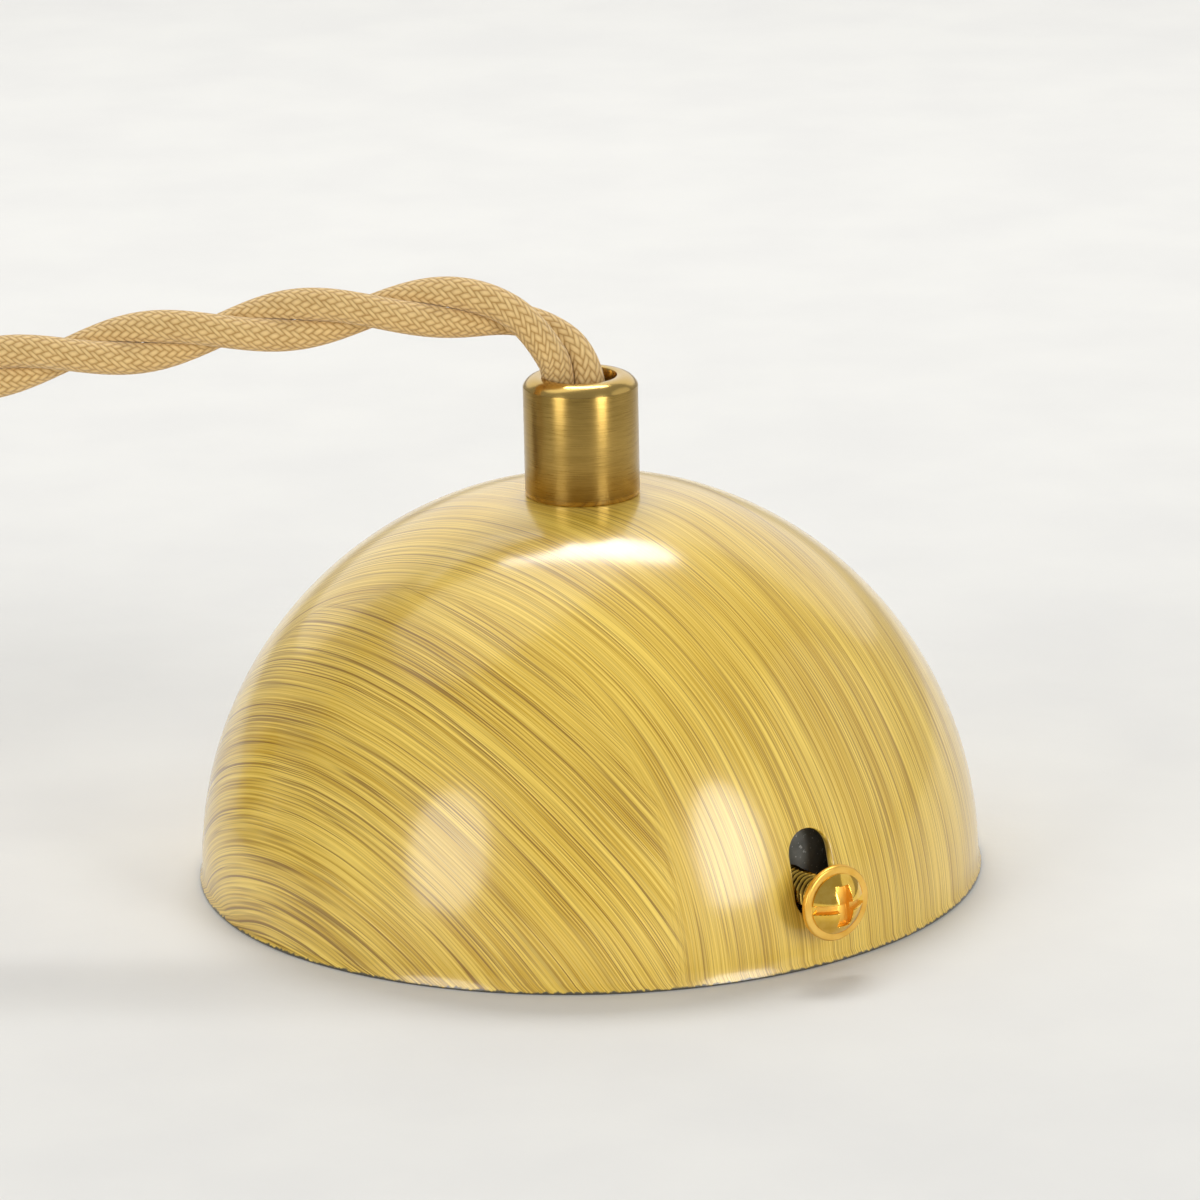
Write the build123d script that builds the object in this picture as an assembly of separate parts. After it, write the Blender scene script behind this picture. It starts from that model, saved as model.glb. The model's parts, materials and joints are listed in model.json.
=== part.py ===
# Pendant light: a domed ceiling canopy with its strap bracket and side screws, a twisted fabric cord
# held by a brass grip, and a screw-base lampholder on the cord's far end.
# Millimetres, +Z up. The origin is the centre of the canopy's rim, which lies on the table.
from build123d import *
from math import asin, atan2, cos, degrees, pi, radians, sin, sqrt, tan
import os

os.makedirs("parts", exist_ok=True)

# Canopy, a pressed steel half sphere with a slightly flared rim and a flattened top
rim_radius = 45.0
rim_flare = 0.4
skirt_height = 0.9
canopy_wall = 1.0
land_margin = 0.2
land_blend = 25.0

# Side slots and the M4 screws that hold the canopy on its bracket
screw_bearing = -56.0
slot_width = 5.3
slot_travel = 4.4
screw_height = 8.1
screw_radius = 2.0
screw_length = 12.0
screw_pitch = 0.7
thread_depth = 0.4
head_radius = 3.4
head_height = 1.9
recess_slot_width = 0.9
recess_slot_depth = 0.7
recess_cross_width = 1.2
recess_cross_length = 3.8
recess_cross_depth = 1.4
washer_radius = 4.25
washer_thickness = 0.7
screw_standoff = 2.7

# Strap bracket that is screwed to the ceiling
strap_width = 12.0
strap_thickness = 1.5
strap_lift = 0.3
strap_bend = 1.0
leg_height = 14.5
leg_corner = 4.0
leg_clearance = 0.5
ceiling_hole_radius = 2.3
ceiling_hole_spacing = 52.0

# Cord grip: cap, split collet, hollow nipple, lock washer and nut
nipple_radius = 4.95
nipple_wall = 1.35
nipple_above = 5.5
nipple_below = 6.0
cap_radius = 6.5
cap_height = 13.75
cap_round = 1.9
cap_crease = 23.0
cap_bore_radius = 4.1
cap_throat = 3.3
cap_cone = 2.5
collet_slit = 0.8
collet_gap = 0.1
lock_washer_radius = 7.0
lock_washer_thickness = 0.8
nut_across_flats = 14.0
nut_thickness = 3.0

# Terminal block, its brass clamps and the earth terminal
block_length = 17.0
block_width = 19.0
block_height = 12.0
block_centre = -11.0
block_corner = 1.0
pole_spacing = 10.0
pole_height = 5.0
clamp_radius = 2.1
clamp_bore_radius = 1.5
clamp_recess = 1.0
clamp_screw_radius = 1.25
clamp_screw_length = 4.6
clamp_screw_offset = 4.0
block_screw_radius = 1.5
block_screw_head_radius = 2.7
block_screw_head_height = 2.0
block_screw_well = 3.0
earth_place = 17.0
earth_screw_radius = 2.0
earth_head_radius = 3.6
earth_head_height = 2.4
earth_washer_radius = 4.5
earth_washer_thickness = 0.8
driver_slot_width = 0.6
driver_slot_depth = 0.8

# Leads inside the canopy and the lampholder
lead_radius = 1.1
lead_spacing = 3.0
lead_bow = 11.0
lead_run = 6.5
ferrule_radius = 0.9
ferrule_length = 8.0

# Twisted cord and the coil of its put-away length
cord_radius = 3.45
coil_centre_x = -225.0
coil_radius = 47.0
coil_step = 7.5
coil_straight = 7.0
tie_thickness = 0.5
tie_width = 6.0
tie_gap = 0.1

# Lampholder, lying on the table behind the cord's fall
holder_mouth_x = -100.0
holder_y = 28.0
holder_radius = 21.5
holder_height = 56.0
holder_wall = 1.0
cover_height = 16.0
cover_round = 8.0
shell_radius = 19.4
shell_wall = 1.8
spigot_length = 6.0
ring_wall = 2.0
ring_height = 8.0
ring_place = 5.0
ring_groove_radius = 0.8
ring_groove_count = 24
ledge_place = 28.5
ledge_height = 2.5
ledge_width = 1.2
insert_thickness = 8.0
lamp_thread_radius = 13.6
lamp_thread_pitch = 3.6
lamp_thread_depth = 1.2
lamp_thread_turns = 6
lamp_shell_wall = 0.5
contact_hole_radius = 8.0
contact_width = 5.0
contact_thickness = 0.5
contact_reach = 4.0
contact_run = 5.0
holder_screw_radius = 1.5
holder_screw_head = 2.6
holder_screw_head_height = 1.8
holder_screw_depth = 5.0
holder_screw_place = 10.0
holder_lead_place = 5.0
holder_lead_depth = 4.0

# Clearances
thread_gap = 0.05
slip_gap = 0.1
floor_gap = 0.02

# Places that follow from the sizes above
dome_radius = rim_radius - rim_flare
inner_dome = dome_radius - canopy_wall
land_radius = max(cap_radius, lock_washer_radius) + land_margin
blend_rise = sqrt((dome_radius - land_blend) ** 2 - land_radius**2)
land_z = skirt_height + blend_rise + land_blend
nipple_hole_radius = nipple_radius + 2 * slip_gap
nipple_bore = nipple_radius - nipple_wall
cap_thread_radius = nipple_radius + thread_gap
collet_top = cap_height - cap_throat
collet_base = nipple_above + slip_gap
washer_edge = screw_height - washer_radius - skirt_height
washer_seat = sqrt(dome_radius**2 - washer_edge**2) + screw_standoff
strap_top = strap_lift + strap_thickness
leg_top = strap_lift + leg_height
leg_reach = sqrt(inner_dome**2 - (leg_top + slot_travel - skirt_height) ** 2) - leg_clearance
strap_half_length = sqrt(leg_reach**2 - (strap_width / 2 - leg_corner) ** 2)
pole_z = strap_top + pole_height
block_top = strap_top + block_height
cord_rest_z = cord_radius + tie_thickness + tie_gap + floor_gap
cord_upper_z = cord_rest_z + coil_step
holder_axis_z = holder_radius
grip_exit_x = holder_mouth_x - holder_height - collet_top

# The bracket is drawn with its screws along X, then turned to the photographed bearing
to_bearing = Rot(0, 0, screw_bearing)
# The holder is drawn upright on its mouth, then laid down with its cord end towards the coil
to_holder = Pos(holder_mouth_x, holder_y, holder_axis_z) * Rot(0, -90, 0)


def save(node, shape):
    """Write one node's solid to its own file."""
    export_step(shape, f"parts/{node}.step")


def save_group(node, place, shapes):
    """Write a node of several like solids, each put in its place first."""
    export_step(Compound([place * shape for shape in shapes]), f"parts/{node}.step")


def turned(*edges):
    """A solid of revolution about Z from an outline drawn as radius and height."""
    return revolve(Plane.XZ * make_face(edges), Axis.Z)


def ring(inner, outer, low, high):
    """A plain flat ring about Z."""
    return Pos(0, 0, (low + high) / 2) * (Cylinder(outer, high - low) - Cylinder(inner, high - low))


def rod(radius, low, high):
    """A plain round bar along Z."""
    return Pos(0, 0, (low + high) / 2) * Cylinder(radius, high - low)


def bored(outline_points):
    """A solid of revolution from straight outline points."""
    return turned(Polyline(*outline_points, close=True))


def between(start, end, share):
    """The place at a share of the way from start to end."""
    return start + share * (end - start)


def both_sides(shape):
    """A shape and its copy half a turn round Z."""
    return [shape, Rot(0, 0, 180) * shape]


def tube(points, radius, name):
    """A bent tube whose corners are the largest arcs that its runs allow."""
    runs = [Vector(b) - Vector(a) for a, b in zip(points, points[1:])]
    turns = [radians(a.get_angle(b)) for a, b in zip(runs, runs[1:])]
    shorter = [min(a.length, b.length) for a, b in zip(runs, runs[1:])]
    radii = [0.45 * run / tan(turn / 2) for run, turn in zip(shorter, turns)]
    path = FilletPolyline(*points, radius=radii)
    return swept(path, radius, name, radii)


def swept(path, radius, name, radii):
    """Sweep a round section along a path and print what it measures."""
    section = Plane(origin=path @ 0, z_dir=path % 0) * Circle(radius)
    solid = sweep(section, path=path)
    share = solid.volume / (pi * radius**2 * path.length)
    listed = ", ".join(f"{r:.1f}" for r in radii)
    print(f"{name}: length {path.length:.1f}, volume share {share:.4f}, radii {listed}")
    return solid


# Canopy shell: a spun half sphere, blended into a flat land for the grip, with a slot for each side screw
land_under = land_z - canopy_wall
blend_centre = (land_radius, skirt_height + blend_rise)
blend_start = degrees(atan2(blend_rise, land_radius))
canopy = turned(
    Line((rim_radius - canopy_wall, 0), (rim_radius, 0)),
    Line((rim_radius, 0), (dome_radius, skirt_height)),
    CenterArc((0, skirt_height), dome_radius, 0, blend_start),
    CenterArc(blend_centre, land_blend, blend_start, 90 - blend_start),
    Line((land_radius, land_z), (nipple_hole_radius, land_z)),
    Line((nipple_hole_radius, land_z), (nipple_hole_radius, land_under)),
    Line((nipple_hole_radius, land_under), (land_radius, land_under)),
    CenterArc(blend_centre, land_blend - canopy_wall, blend_start, 90 - blend_start),
    CenterArc((0, skirt_height), inner_dome, 0, blend_start),
    Line((inner_dome, skirt_height), (rim_radius - canopy_wall, 0)),
)
slot_outline = Rot(0, 0, 90) * SlotCenterToCenter(slot_travel, slot_width)
slot_middle = Pos(0, screw_height + slot_travel / 2)
slot_cutter = extrude(Plane.YZ * slot_middle * slot_outline, 2 * rim_radius, both=True)
save("canopy_shell", canopy - to_bearing * slot_cutter)


# Cord grip parts, drawn with the seat of the cap at height 0 and the cord leaving along +Z
def grip_cap():
    crown = cap_radius - cap_round * cos(radians(cap_crease))
    edge = cap_height - cap_round * (1 - sin(radians(cap_crease)))
    cone_top = cap_height - cap_throat
    cone_low = cone_top - cap_cone
    return turned(
        Line((cap_thread_radius, 0), (cap_radius, 0)),
        Line((cap_radius, 0), (cap_radius, edge)),
        CenterArc((crown, cap_height - cap_round), cap_round, cap_crease, 90 - cap_crease),
        Line((crown, cap_height), (cap_bore_radius, cap_height)),
        Line((cap_bore_radius, cap_height), (cap_bore_radius, cone_top)),
        Line((cap_bore_radius, cone_top), (cap_thread_radius, cone_low)),
        Line((cap_thread_radius, cone_low), (cap_thread_radius, 0)),
    )


def grip_collet():
    bore = cord_radius + thread_gap
    wide = cap_thread_radius - collet_gap
    narrow = cap_bore_radius - collet_gap
    body = bored(
        [
            (bore, collet_base),
            (wide, collet_base),
            (wide, collet_top - cap_cone),
            (narrow, collet_top),
            (bore, collet_top),
        ]
    )
    slit_height = collet_top - collet_base
    slit = Pos(wide / 2, 0, collet_base + slit_height / 2) * Box(wide, collet_slit, 2 * slit_height)
    return body - slit


def grip_nipple():
    return ring(nipple_bore, nipple_radius, -nipple_below, nipple_above)


def grip_lock_washer(wall):
    return ring(nipple_hole_radius, lock_washer_radius, -wall - lock_washer_thickness, -wall)


def grip_nut(wall):
    top = -wall - lock_washer_thickness
    outline = RegularPolygon(nut_across_flats / 2, 6, major_radius=False) - Circle(nipple_radius + thread_gap)
    return Pos(0, 0, top) * extrude(outline, -nut_thickness)


def gripped_cord():
    return rod(cord_radius, -nipple_below, collet_top)


on_canopy = Pos(0, 0, land_z)
save("cord_grip_cap", on_canopy * grip_cap())
save("cord_collet", on_canopy * grip_collet())
save("threaded_nipple", on_canopy * grip_nipple())
save("lock_washer", on_canopy * grip_lock_washer(canopy_wall))
save("nipple_nut", on_canopy * grip_nut(canopy_wall))
save("cord_entry", on_canopy * gripped_cord())

# Strap bracket: a U of flat bar with tapped legs, ceiling holes and two tapped holes in its web
leg_inside = strap_half_length - strap_thickness
strap_outline = make_face(
    Polyline(
        (-strap_half_length, leg_top),
        (-strap_half_length, strap_lift),
        (strap_half_length, strap_lift),
        (strap_half_length, leg_top),
        (leg_inside, leg_top),
        (leg_inside, strap_top),
        (-leg_inside, strap_top),
        (-leg_inside, leg_top),
        close=True,
    )
)
for corner_x, corner_z, bend in (
    (strap_half_length, strap_lift, strap_bend + strap_thickness),
    (-strap_half_length, strap_lift, strap_bend + strap_thickness),
    (leg_inside, strap_top, strap_bend),
    (-leg_inside, strap_top, strap_bend),
):
    corner = strap_outline.vertices().sort_by_distance((corner_x, corner_z))[0]
    strap_outline = fillet(corner, bend)
bracket = extrude(Plane.XZ * strap_outline, strap_width / 2, both=True)
leg_tips = bracket.edges().filter_by(Axis.X).group_by(Axis.Z)[-1]
bracket = fillet(leg_tips, min(leg_corner, 0.45 * strap_width))
for hole_x, hole_radius in (
    (-ceiling_hole_spacing / 2, ceiling_hole_radius),
    (ceiling_hole_spacing / 2, ceiling_hole_radius),
    (block_centre, block_screw_radius + thread_gap),
    (earth_place, earth_screw_radius + thread_gap),
):
    bracket -= Pos(hole_x, 0, strap_lift) * Cylinder(hole_radius, 4 * strap_thickness)
leg_drill = Rot(0, 90, 0) * Cylinder(screw_radius + thread_gap, 3 * strap_half_length)
bracket -= Pos(0, 0, screw_height) * leg_drill
save("mounting_bracket", to_bearing * bracket)


# Side screws with a captive washer each: domed heads with a slot across and a shorter cross arm
def side_screw():
    root = screw_radius - thread_depth
    turns = int(screw_length / screw_pitch)
    flank = [(0, -screw_length), (root, -screw_length)]
    for turn in range(turns):
        groove = (turn - turns) * screw_pitch
        flank += [(root, groove), (screw_radius, groove + screw_pitch / 2)]
    shank = Polyline(*flank, (root, 0), (head_radius, 0))
    dome = (head_radius**2 + head_height**2) / (2 * head_height)
    half_angle = degrees(asin(head_radius / dome))
    crown = CenterArc((0, head_height - dome), dome, 90 - half_angle, half_angle)
    screw = turned(shank, crown, Line((0, head_height), (0, -screw_length)))
    across = Pos(0, 0, head_height) * Box(2 * head_radius, recess_slot_width, 2 * recess_slot_depth)
    upright = Pos(0, 0, head_height) * Box(recess_cross_width, recess_cross_length, 2 * recess_cross_depth)
    return screw - across - upright


screw_place = Pos(washer_seat + washer_thickness, 0, screw_height) * Rot(0, 90, 0) * Rot(0, 0, 90)
washer_place = Pos(washer_seat, 0, screw_height) * Rot(0, 90, 0)
side_washer = ring(screw_radius + slip_gap, washer_radius, 0, washer_thickness)
side_screws = both_sides(screw_place * side_screw())
side_washers = both_sides(washer_place * side_washer)
for side, screw, washer in zip(("front", "rear"), side_screws, side_washers):
    save(f"side_screw_{side}", to_bearing * screw)
    save(f"side_washer_{side}", to_bearing * washer)

# Terminal block on the strap: two brass clamps with two screws each, held by one central screw
block_middle = Pos(block_centre, 0, strap_top + block_height / 2)
block = block_middle * Box(block_length, block_width, block_height)
block = fillet(block.edges().filter_by(Axis.Z), block_corner)
poles = [pole_spacing / 2, -pole_spacing / 2]
clamp_length = block_length - 2 * clamp_recess
clamps = []
clamp_screws = []
for pole in poles:
    along = Pos(block_centre, pole, pole_z) * Rot(0, 90, 0)
    block -= along * Cylinder(clamp_radius + slip_gap, 2 * block_length)
    clamp = along * (Cylinder(clamp_radius, clamp_length) - Cylinder(clamp_bore_radius, 2 * clamp_length))
    for shift in (-clamp_screw_offset, clamp_screw_offset):
        well = Pos(block_centre + shift, pole, pole_z)
        block -= well * rod(clamp_screw_radius + 4 * slip_gap, 0, 2 * block_height)
        clamp -= well * rod(clamp_screw_radius + thread_gap, 0, 2 * clamp_radius)
        grub = rod(clamp_screw_radius, ferrule_radius, ferrule_radius + clamp_screw_length)
        grub_top = Pos(0, 0, ferrule_radius + clamp_screw_length)
        grub -= grub_top * Box(3 * clamp_screw_radius, driver_slot_width, 2 * driver_slot_depth)
        clamp_screws.append(well * grub)
    clamps.append(clamp)
block_seat = block_top - block_screw_well
on_block = Pos(block_centre, 0, 0)
block -= on_block * rod(block_screw_radius + slip_gap, 0, 2 * block_top)
block -= on_block * rod(block_screw_head_radius + 2 * slip_gap, block_seat, 2 * block_top)
block_screw = on_block * rod(block_screw_radius, strap_lift + slip_gap, block_seat)
block_screw += on_block * rod(block_screw_head_radius, block_seat, block_seat + block_screw_head_height)
block_screw -= Pos(block_centre, 0, block_seat + block_screw_head_height) * Box(
    3 * block_screw_head_radius, driver_slot_width, 2 * driver_slot_depth
)
save("terminal_block", to_bearing * block)
save_group("terminal_clamps", to_bearing, clamps)
save_group("terminal_screws", to_bearing, clamp_screws)
save("block_screw", to_bearing * block_screw)

# Earth terminal on the other end of the strap
on_earth = Pos(earth_place, 0, 0)
earth_seat = strap_top + earth_washer_thickness
earth_screw = rod(earth_screw_radius, strap_lift + slip_gap, earth_seat)
earth_screw += rod(earth_head_radius, earth_seat, earth_seat + earth_head_height)
earth_screw -= Pos(0, 0, earth_seat + earth_head_height) * Box(
    3 * earth_head_radius, driver_slot_width, 2 * driver_slot_depth
)
earth_washer = ring(earth_screw_radius + slip_gap, earth_washer_radius, strap_top, earth_seat)
save("earth_screw", to_bearing * on_earth * earth_screw)
save("earth_washer", to_bearing * on_earth * earth_washer)

# Leads from the end of the gripped cord to the terminal block, each with a crimped ferrule
lead_top = land_z - nipple_below
block_face = block_centre + block_length / 2
bow_x = block_face + lead_bow
ferrules = []
for lead, pole in zip(("live", "neutral"), poles):
    core = lead_spacing / 2 if pole > 0 else -lead_spacing / 2
    lead_points = [
        (0, core, lead_top),
        (0, core, between(lead_top, pole_z, 0.14)),
        (bow_x / 2, between(core, pole, 0.3), between(lead_top, pole_z, 0.32)),
        (bow_x, between(core, pole, 0.7), between(lead_top, pole_z, 0.58)),
        (bow_x, pole, between(lead_top, pole_z, 0.85)),
        (block_face + lead_run, pole, pole_z),
        (block_face, pole, pole_z),
    ]
    save(f"lead_{lead}", to_bearing * tube(lead_points, lead_radius, f"lead_{lead}"))
    inside = Pos(block_face - ferrule_length / 2, pole, pole_z) * Rot(0, 90, 0)
    ferrules.append(inside * Cylinder(ferrule_radius, ferrule_length))
save_group("lead_ferrules", to_bearing, ferrules)

# Free cord: up out of the grip, over to the left in the photographed arch, then down to the table
exit_z = land_z + collet_top
free_points = [
    (0, 0, exit_z),
    (0, 0, exit_z + 6.4),
    (-4.8, 0, exit_z + 11.0),
    (-13.5, 0, exit_z + 11.8),
    (-27.0, 0, exit_z + 10.9),
    (-47.0, -0.5, exit_z + 8.4),
    (-70.0, -2.0, exit_z + 4.8),
    (-100.0, -6.0, exit_z - 2.2),
    (-130.0, -13.5, 41.5),
    (-155.0, -24.5, 27.0),
    (-176.0, -36.0, 13.4),
    (-193.0, -43.5, 6.0),
    (-207.0, -coil_radius, cord_rest_z),
    (coil_centre_x + coil_straight, -coil_radius, cord_rest_z),
]
save("cord_free", tube(free_points, cord_radius, "cord_free"))

# Coil: half turns that spiral in on the table, climb one layer in the innermost turn and spiral out
half_step = coil_step / 2
lower = [coil_radius - half_step * turn for turn in range(4)]
innermost = lower[-1] - half_step
upper = [innermost + coil_step + half_step * turn for turn in range(3)]
crossings = []
for turn, radius in enumerate(lower + [innermost] + upper):
    hand = -1 if turn % 2 == 0 else 1
    layer_z = cord_rest_z if turn < len(lower) else cord_upper_z
    crossings.append(Vector(coil_centre_x, hand * radius, layer_z))
run_in = Vector(coil_straight, 0, 0)
coil_edges = [Line(crossings[0] + run_in, crossings[0])]
left_radii = []
for turn, (start, end) in enumerate(zip(crossings, crossings[1:])):
    outward = -1 if turn % 2 == 0 else 1
    half_turn = (end - start).length / 2
    middle = (start + end) * 0.5 + Vector(outward * half_turn, 0, 0)
    coil_edges.append(ThreePointArc(start, middle, end))
    if outward < 0:
        left_radii.append(half_turn)
coil_edges.append(Line(crossings[-1], crossings[-1] + run_in))
coil_path = Wire(coil_edges)
coil_radii = [edge.radius for edge in coil_edges[1:-1]]
save("cord_coil", swept(coil_path, cord_radius, "cord_coil", coil_radii))

# Least gap between the coil's turns, over points about a millimetre apart
count = int(coil_path.length)
beads = [coil_path @ (i / count) for i in range(count + 1)]
apart = int(6 * cord_radius)
later = range(len(beads))
nearest = min((beads[i] - beads[j]).length for i in later[::2] for j in later[i + apart :: 2])
print(f"coil least gap {nearest - 2 * cord_radius:.2f}")

# Tie round the coil's bundle on the side away from the canopy
bundle_in = min(left_radii) - half_step - cord_radius - tie_gap
bundle_out = max(left_radii) + cord_radius + tie_gap
bundle_low = cord_rest_z - cord_radius - tie_gap
bundle_high = cord_upper_z + cord_radius + tie_gap
tie_hole = RectangleRounded(bundle_out - bundle_in, bundle_high - bundle_low, cord_radius)
tie_band = offset(tie_hole, tie_thickness) - tie_hole
tie_place = Pos(coil_centre_x - (bundle_in + bundle_out) / 2, 0, (bundle_low + bundle_high) / 2)
save("coil_tie", tie_place * extrude(Plane.XZ * tie_band, tie_width / 2, both=True))

# Tail: off the top of the coil and up into the lampholder's grip
tail_start_x = coil_centre_x + coil_straight
tail_points = [(tail_start_x, coil_radius, cord_upper_z)]
for along, aside in ((0.19, 0), (0.41, 0.25), (0.58, 0.76), (0.81, 1), (1, 1)):
    tail_x = between(tail_start_x, grip_exit_x, along)
    tail_y = between(coil_radius, holder_y, aside)
    tail_points.append((tail_x, tail_y, between(cord_upper_z, holder_axis_z, aside)))
save("cord_tail", tube(tail_points, cord_radius, "cord_tail"))

# Lampholder's own grip, the same parts as on the canopy
on_cover = to_holder * Pos(0, 0, holder_height)
save("holder_grip_cap", on_cover * grip_cap())
save("holder_collet", on_cover * grip_collet())
save("holder_nipple", on_cover * grip_nipple())
save("holder_lock_washer", on_cover * grip_lock_washer(holder_wall))
save("holder_nut", on_cover * grip_nut(holder_wall))
save("holder_cord_entry", on_cover * gripped_cord())

# Lampholder cover: a drawn metal cup
cover_low = holder_height - cover_height
cover_outline = make_face(
    Polyline(
        (holder_radius - holder_wall, cover_low),
        (holder_radius, cover_low),
        (holder_radius, holder_height),
        (nipple_hole_radius, holder_height),
        (nipple_hole_radius, holder_height - holder_wall),
        (holder_radius - holder_wall, holder_height - holder_wall),
        close=True,
    )
)
for inset in (0, holder_wall):
    shoulder = (holder_radius - inset, holder_height - inset)
    corner = cover_outline.vertices().sort_by_distance(shoulder)[0]
    cover_outline = fillet(corner, cover_round - inset)
save("holder_cover", to_holder * revolve(Plane.XZ * cover_outline, Axis.Z))

# Lampholder shell: a skirt that plugs into the cover, with a ledge for the ceramic insert
shell_bore = shell_radius - shell_wall
spigot_radius = holder_radius - holder_wall - slip_gap
spigot_top = cover_low + spigot_length
shell = bored(
    [
        (shell_bore, 0),
        (shell_radius, 0),
        (shell_radius, cover_low),
        (spigot_radius, cover_low),
        (spigot_radius, spigot_top),
        (shell_bore, spigot_top),
        (shell_bore, ledge_place + ledge_height),
        (shell_bore - ledge_width, ledge_place + ledge_height),
        (shell_bore - ledge_width, ledge_place),
        (shell_bore, ledge_place),
    ]
)
save("holder_shell", to_holder * shell)

# Shade ring: screws along the shell to clamp a shade against the cover
ring_bore = shell_radius + slip_gap
shade_ring = ring(ring_bore, ring_bore + ring_wall - slip_gap, ring_place, ring_place + ring_height)
groove_circle = ring_bore + ring_wall + ring_groove_radius / 2
for groove in PolarLocations(groove_circle, ring_groove_count, 180 / ring_groove_count):
    shade_ring -= groove * rod(ring_groove_radius, ring_place, ring_place + ring_height)
save("shade_ring", to_holder * shade_ring)

# Ceramic insert with its two terminal screws and lead holes
insert_low = ledge_place + ledge_height
insert_top = insert_low + insert_thickness
insert = rod(shell_bore - slip_gap, insert_low, insert_top)
holder_screws = []
for hand in (-1, 1):
    screw_at = Pos(hand * holder_screw_place, holder_lead_place, 0)
    screw_end = insert_top - holder_screw_depth
    insert -= screw_at * rod(holder_screw_radius + thread_gap, screw_end, 2 * insert_top)
    insert -= Pos(hand * holder_lead_place, holder_lead_place, 0) * rod(
        lead_radius + slip_gap, insert_top - holder_lead_depth, 2 * insert_top
    )
    terminal_screw = rod(holder_screw_radius, screw_end, insert_top)
    terminal_screw += rod(holder_screw_head, insert_top, insert_top + holder_screw_head_height)
    terminal_screw -= Pos(0, 0, insert_top + holder_screw_head_height) * Box(
        3 * holder_screw_head, driver_slot_width, 2 * driver_slot_depth
    )
    holder_screws.append(screw_at * terminal_screw)
save("holder_insert", to_holder * insert)
save_group("holder_terminal_screws", to_holder, holder_screws)

# Threaded lamp shell: a thin brass cup with round threads, fixed under the insert
shell_floor = insert_low - lamp_shell_wall
lamp_shell_low = shell_floor - lamp_thread_turns * lamp_thread_pitch


def thread_wave(radius):
    """Round thread profile from the cup's floor to its lip."""
    waves = []
    for half in range(2 * lamp_thread_turns):
        top = shell_floor - half * lamp_thread_pitch / 2
        low = top - lamp_thread_pitch / 2
        bulge = lamp_thread_depth / 2 if half % 2 else -lamp_thread_depth / 2
        waves.append(ThreePointArc((radius, top), (radius + bulge, (top + low) / 2), (radius, low)))
    return waves


lamp_shell = turned(
    Line((lamp_thread_radius - lamp_shell_wall, shell_floor), (contact_hole_radius, shell_floor)),
    Line((contact_hole_radius, shell_floor), (contact_hole_radius, insert_low)),
    Line((contact_hole_radius, insert_low), (lamp_thread_radius, insert_low)),
    Line((lamp_thread_radius, insert_low), (lamp_thread_radius, shell_floor)),
    *thread_wave(lamp_thread_radius),
    Line((lamp_thread_radius, lamp_shell_low), (lamp_thread_radius - lamp_shell_wall, lamp_shell_low)),
    *thread_wave(lamp_thread_radius - lamp_shell_wall),
)
save("lamp_thread_shell", to_holder * lamp_shell)

# Centre contact: a springy brass tongue on the insert's face
contact_outline = make_face(
    Polyline(
        (-contact_run, insert_low),
        (contact_thickness, insert_low),
        (contact_run, insert_low - contact_reach),
        (contact_run - contact_thickness, insert_low - contact_reach - contact_thickness),
        (0, insert_low - contact_thickness),
        (-contact_run, insert_low - contact_thickness),
        close=True,
    )
)
save("centre_contact", to_holder * extrude(Plane.XZ * contact_outline, contact_width / 2, both=True))

# Leads inside the lampholder, pushed into the insert
holder_lead_top = holder_height - nipple_below
for lead, hand in (("live", 1), ("neutral", -1)):
    holder_lead_points = []
    for height, aside in ((1, 0), (0.73, 0), (0.44, 0.75), (0.14, 1)):
        lead_x = between(lead_spacing / 2, holder_lead_place, aside)
        lead_z = between(insert_top, holder_lead_top, height)
        holder_lead_points.append((hand * lead_x, aside * holder_lead_place, lead_z))
    lead_end = insert_top - holder_lead_depth + slip_gap
    holder_lead_points.append((hand * holder_lead_place, holder_lead_place, lead_end))
    save(f"holder_lead_{lead}", to_holder * tube(holder_lead_points, lead_radius, f"holder_lead_{lead}"))
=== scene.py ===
# Pendant light: a domed ceiling canopy with its strap bracket and side screws, a brass cord grip,
# a twisted fabric cord and a screw-base lampholder. Sizes are in millimetres, meshes in metres.
import json
import math

import bmesh
import bpy
import numpy as np
from mathutils import Matrix, Vector

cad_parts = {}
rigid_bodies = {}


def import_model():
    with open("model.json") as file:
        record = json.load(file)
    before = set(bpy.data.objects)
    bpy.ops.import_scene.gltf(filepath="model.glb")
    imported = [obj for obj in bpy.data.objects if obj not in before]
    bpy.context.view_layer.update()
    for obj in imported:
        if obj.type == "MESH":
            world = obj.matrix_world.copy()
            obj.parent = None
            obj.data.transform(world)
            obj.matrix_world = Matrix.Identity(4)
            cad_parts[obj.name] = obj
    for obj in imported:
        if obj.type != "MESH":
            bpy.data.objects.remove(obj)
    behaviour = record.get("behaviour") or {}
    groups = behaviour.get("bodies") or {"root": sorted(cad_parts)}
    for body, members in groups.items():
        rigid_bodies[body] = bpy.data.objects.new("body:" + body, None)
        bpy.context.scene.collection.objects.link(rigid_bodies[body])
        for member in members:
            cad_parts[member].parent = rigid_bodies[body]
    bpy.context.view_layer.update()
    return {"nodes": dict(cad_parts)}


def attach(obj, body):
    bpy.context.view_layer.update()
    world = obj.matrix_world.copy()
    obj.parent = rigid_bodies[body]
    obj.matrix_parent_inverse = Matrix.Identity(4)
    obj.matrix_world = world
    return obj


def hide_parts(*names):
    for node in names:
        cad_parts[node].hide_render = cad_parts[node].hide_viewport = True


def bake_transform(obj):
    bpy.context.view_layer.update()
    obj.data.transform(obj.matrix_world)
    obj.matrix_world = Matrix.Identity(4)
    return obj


for stray in list(bpy.data.objects):
    bpy.data.objects.remove(stray)
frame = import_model()

# Strap bracket. A U of flat steel bar, blackened against rust, that is screwed to the ceiling first.
# Its upturned legs are tapped for the two side screws that carry the canopy.
MM = 0.001


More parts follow.
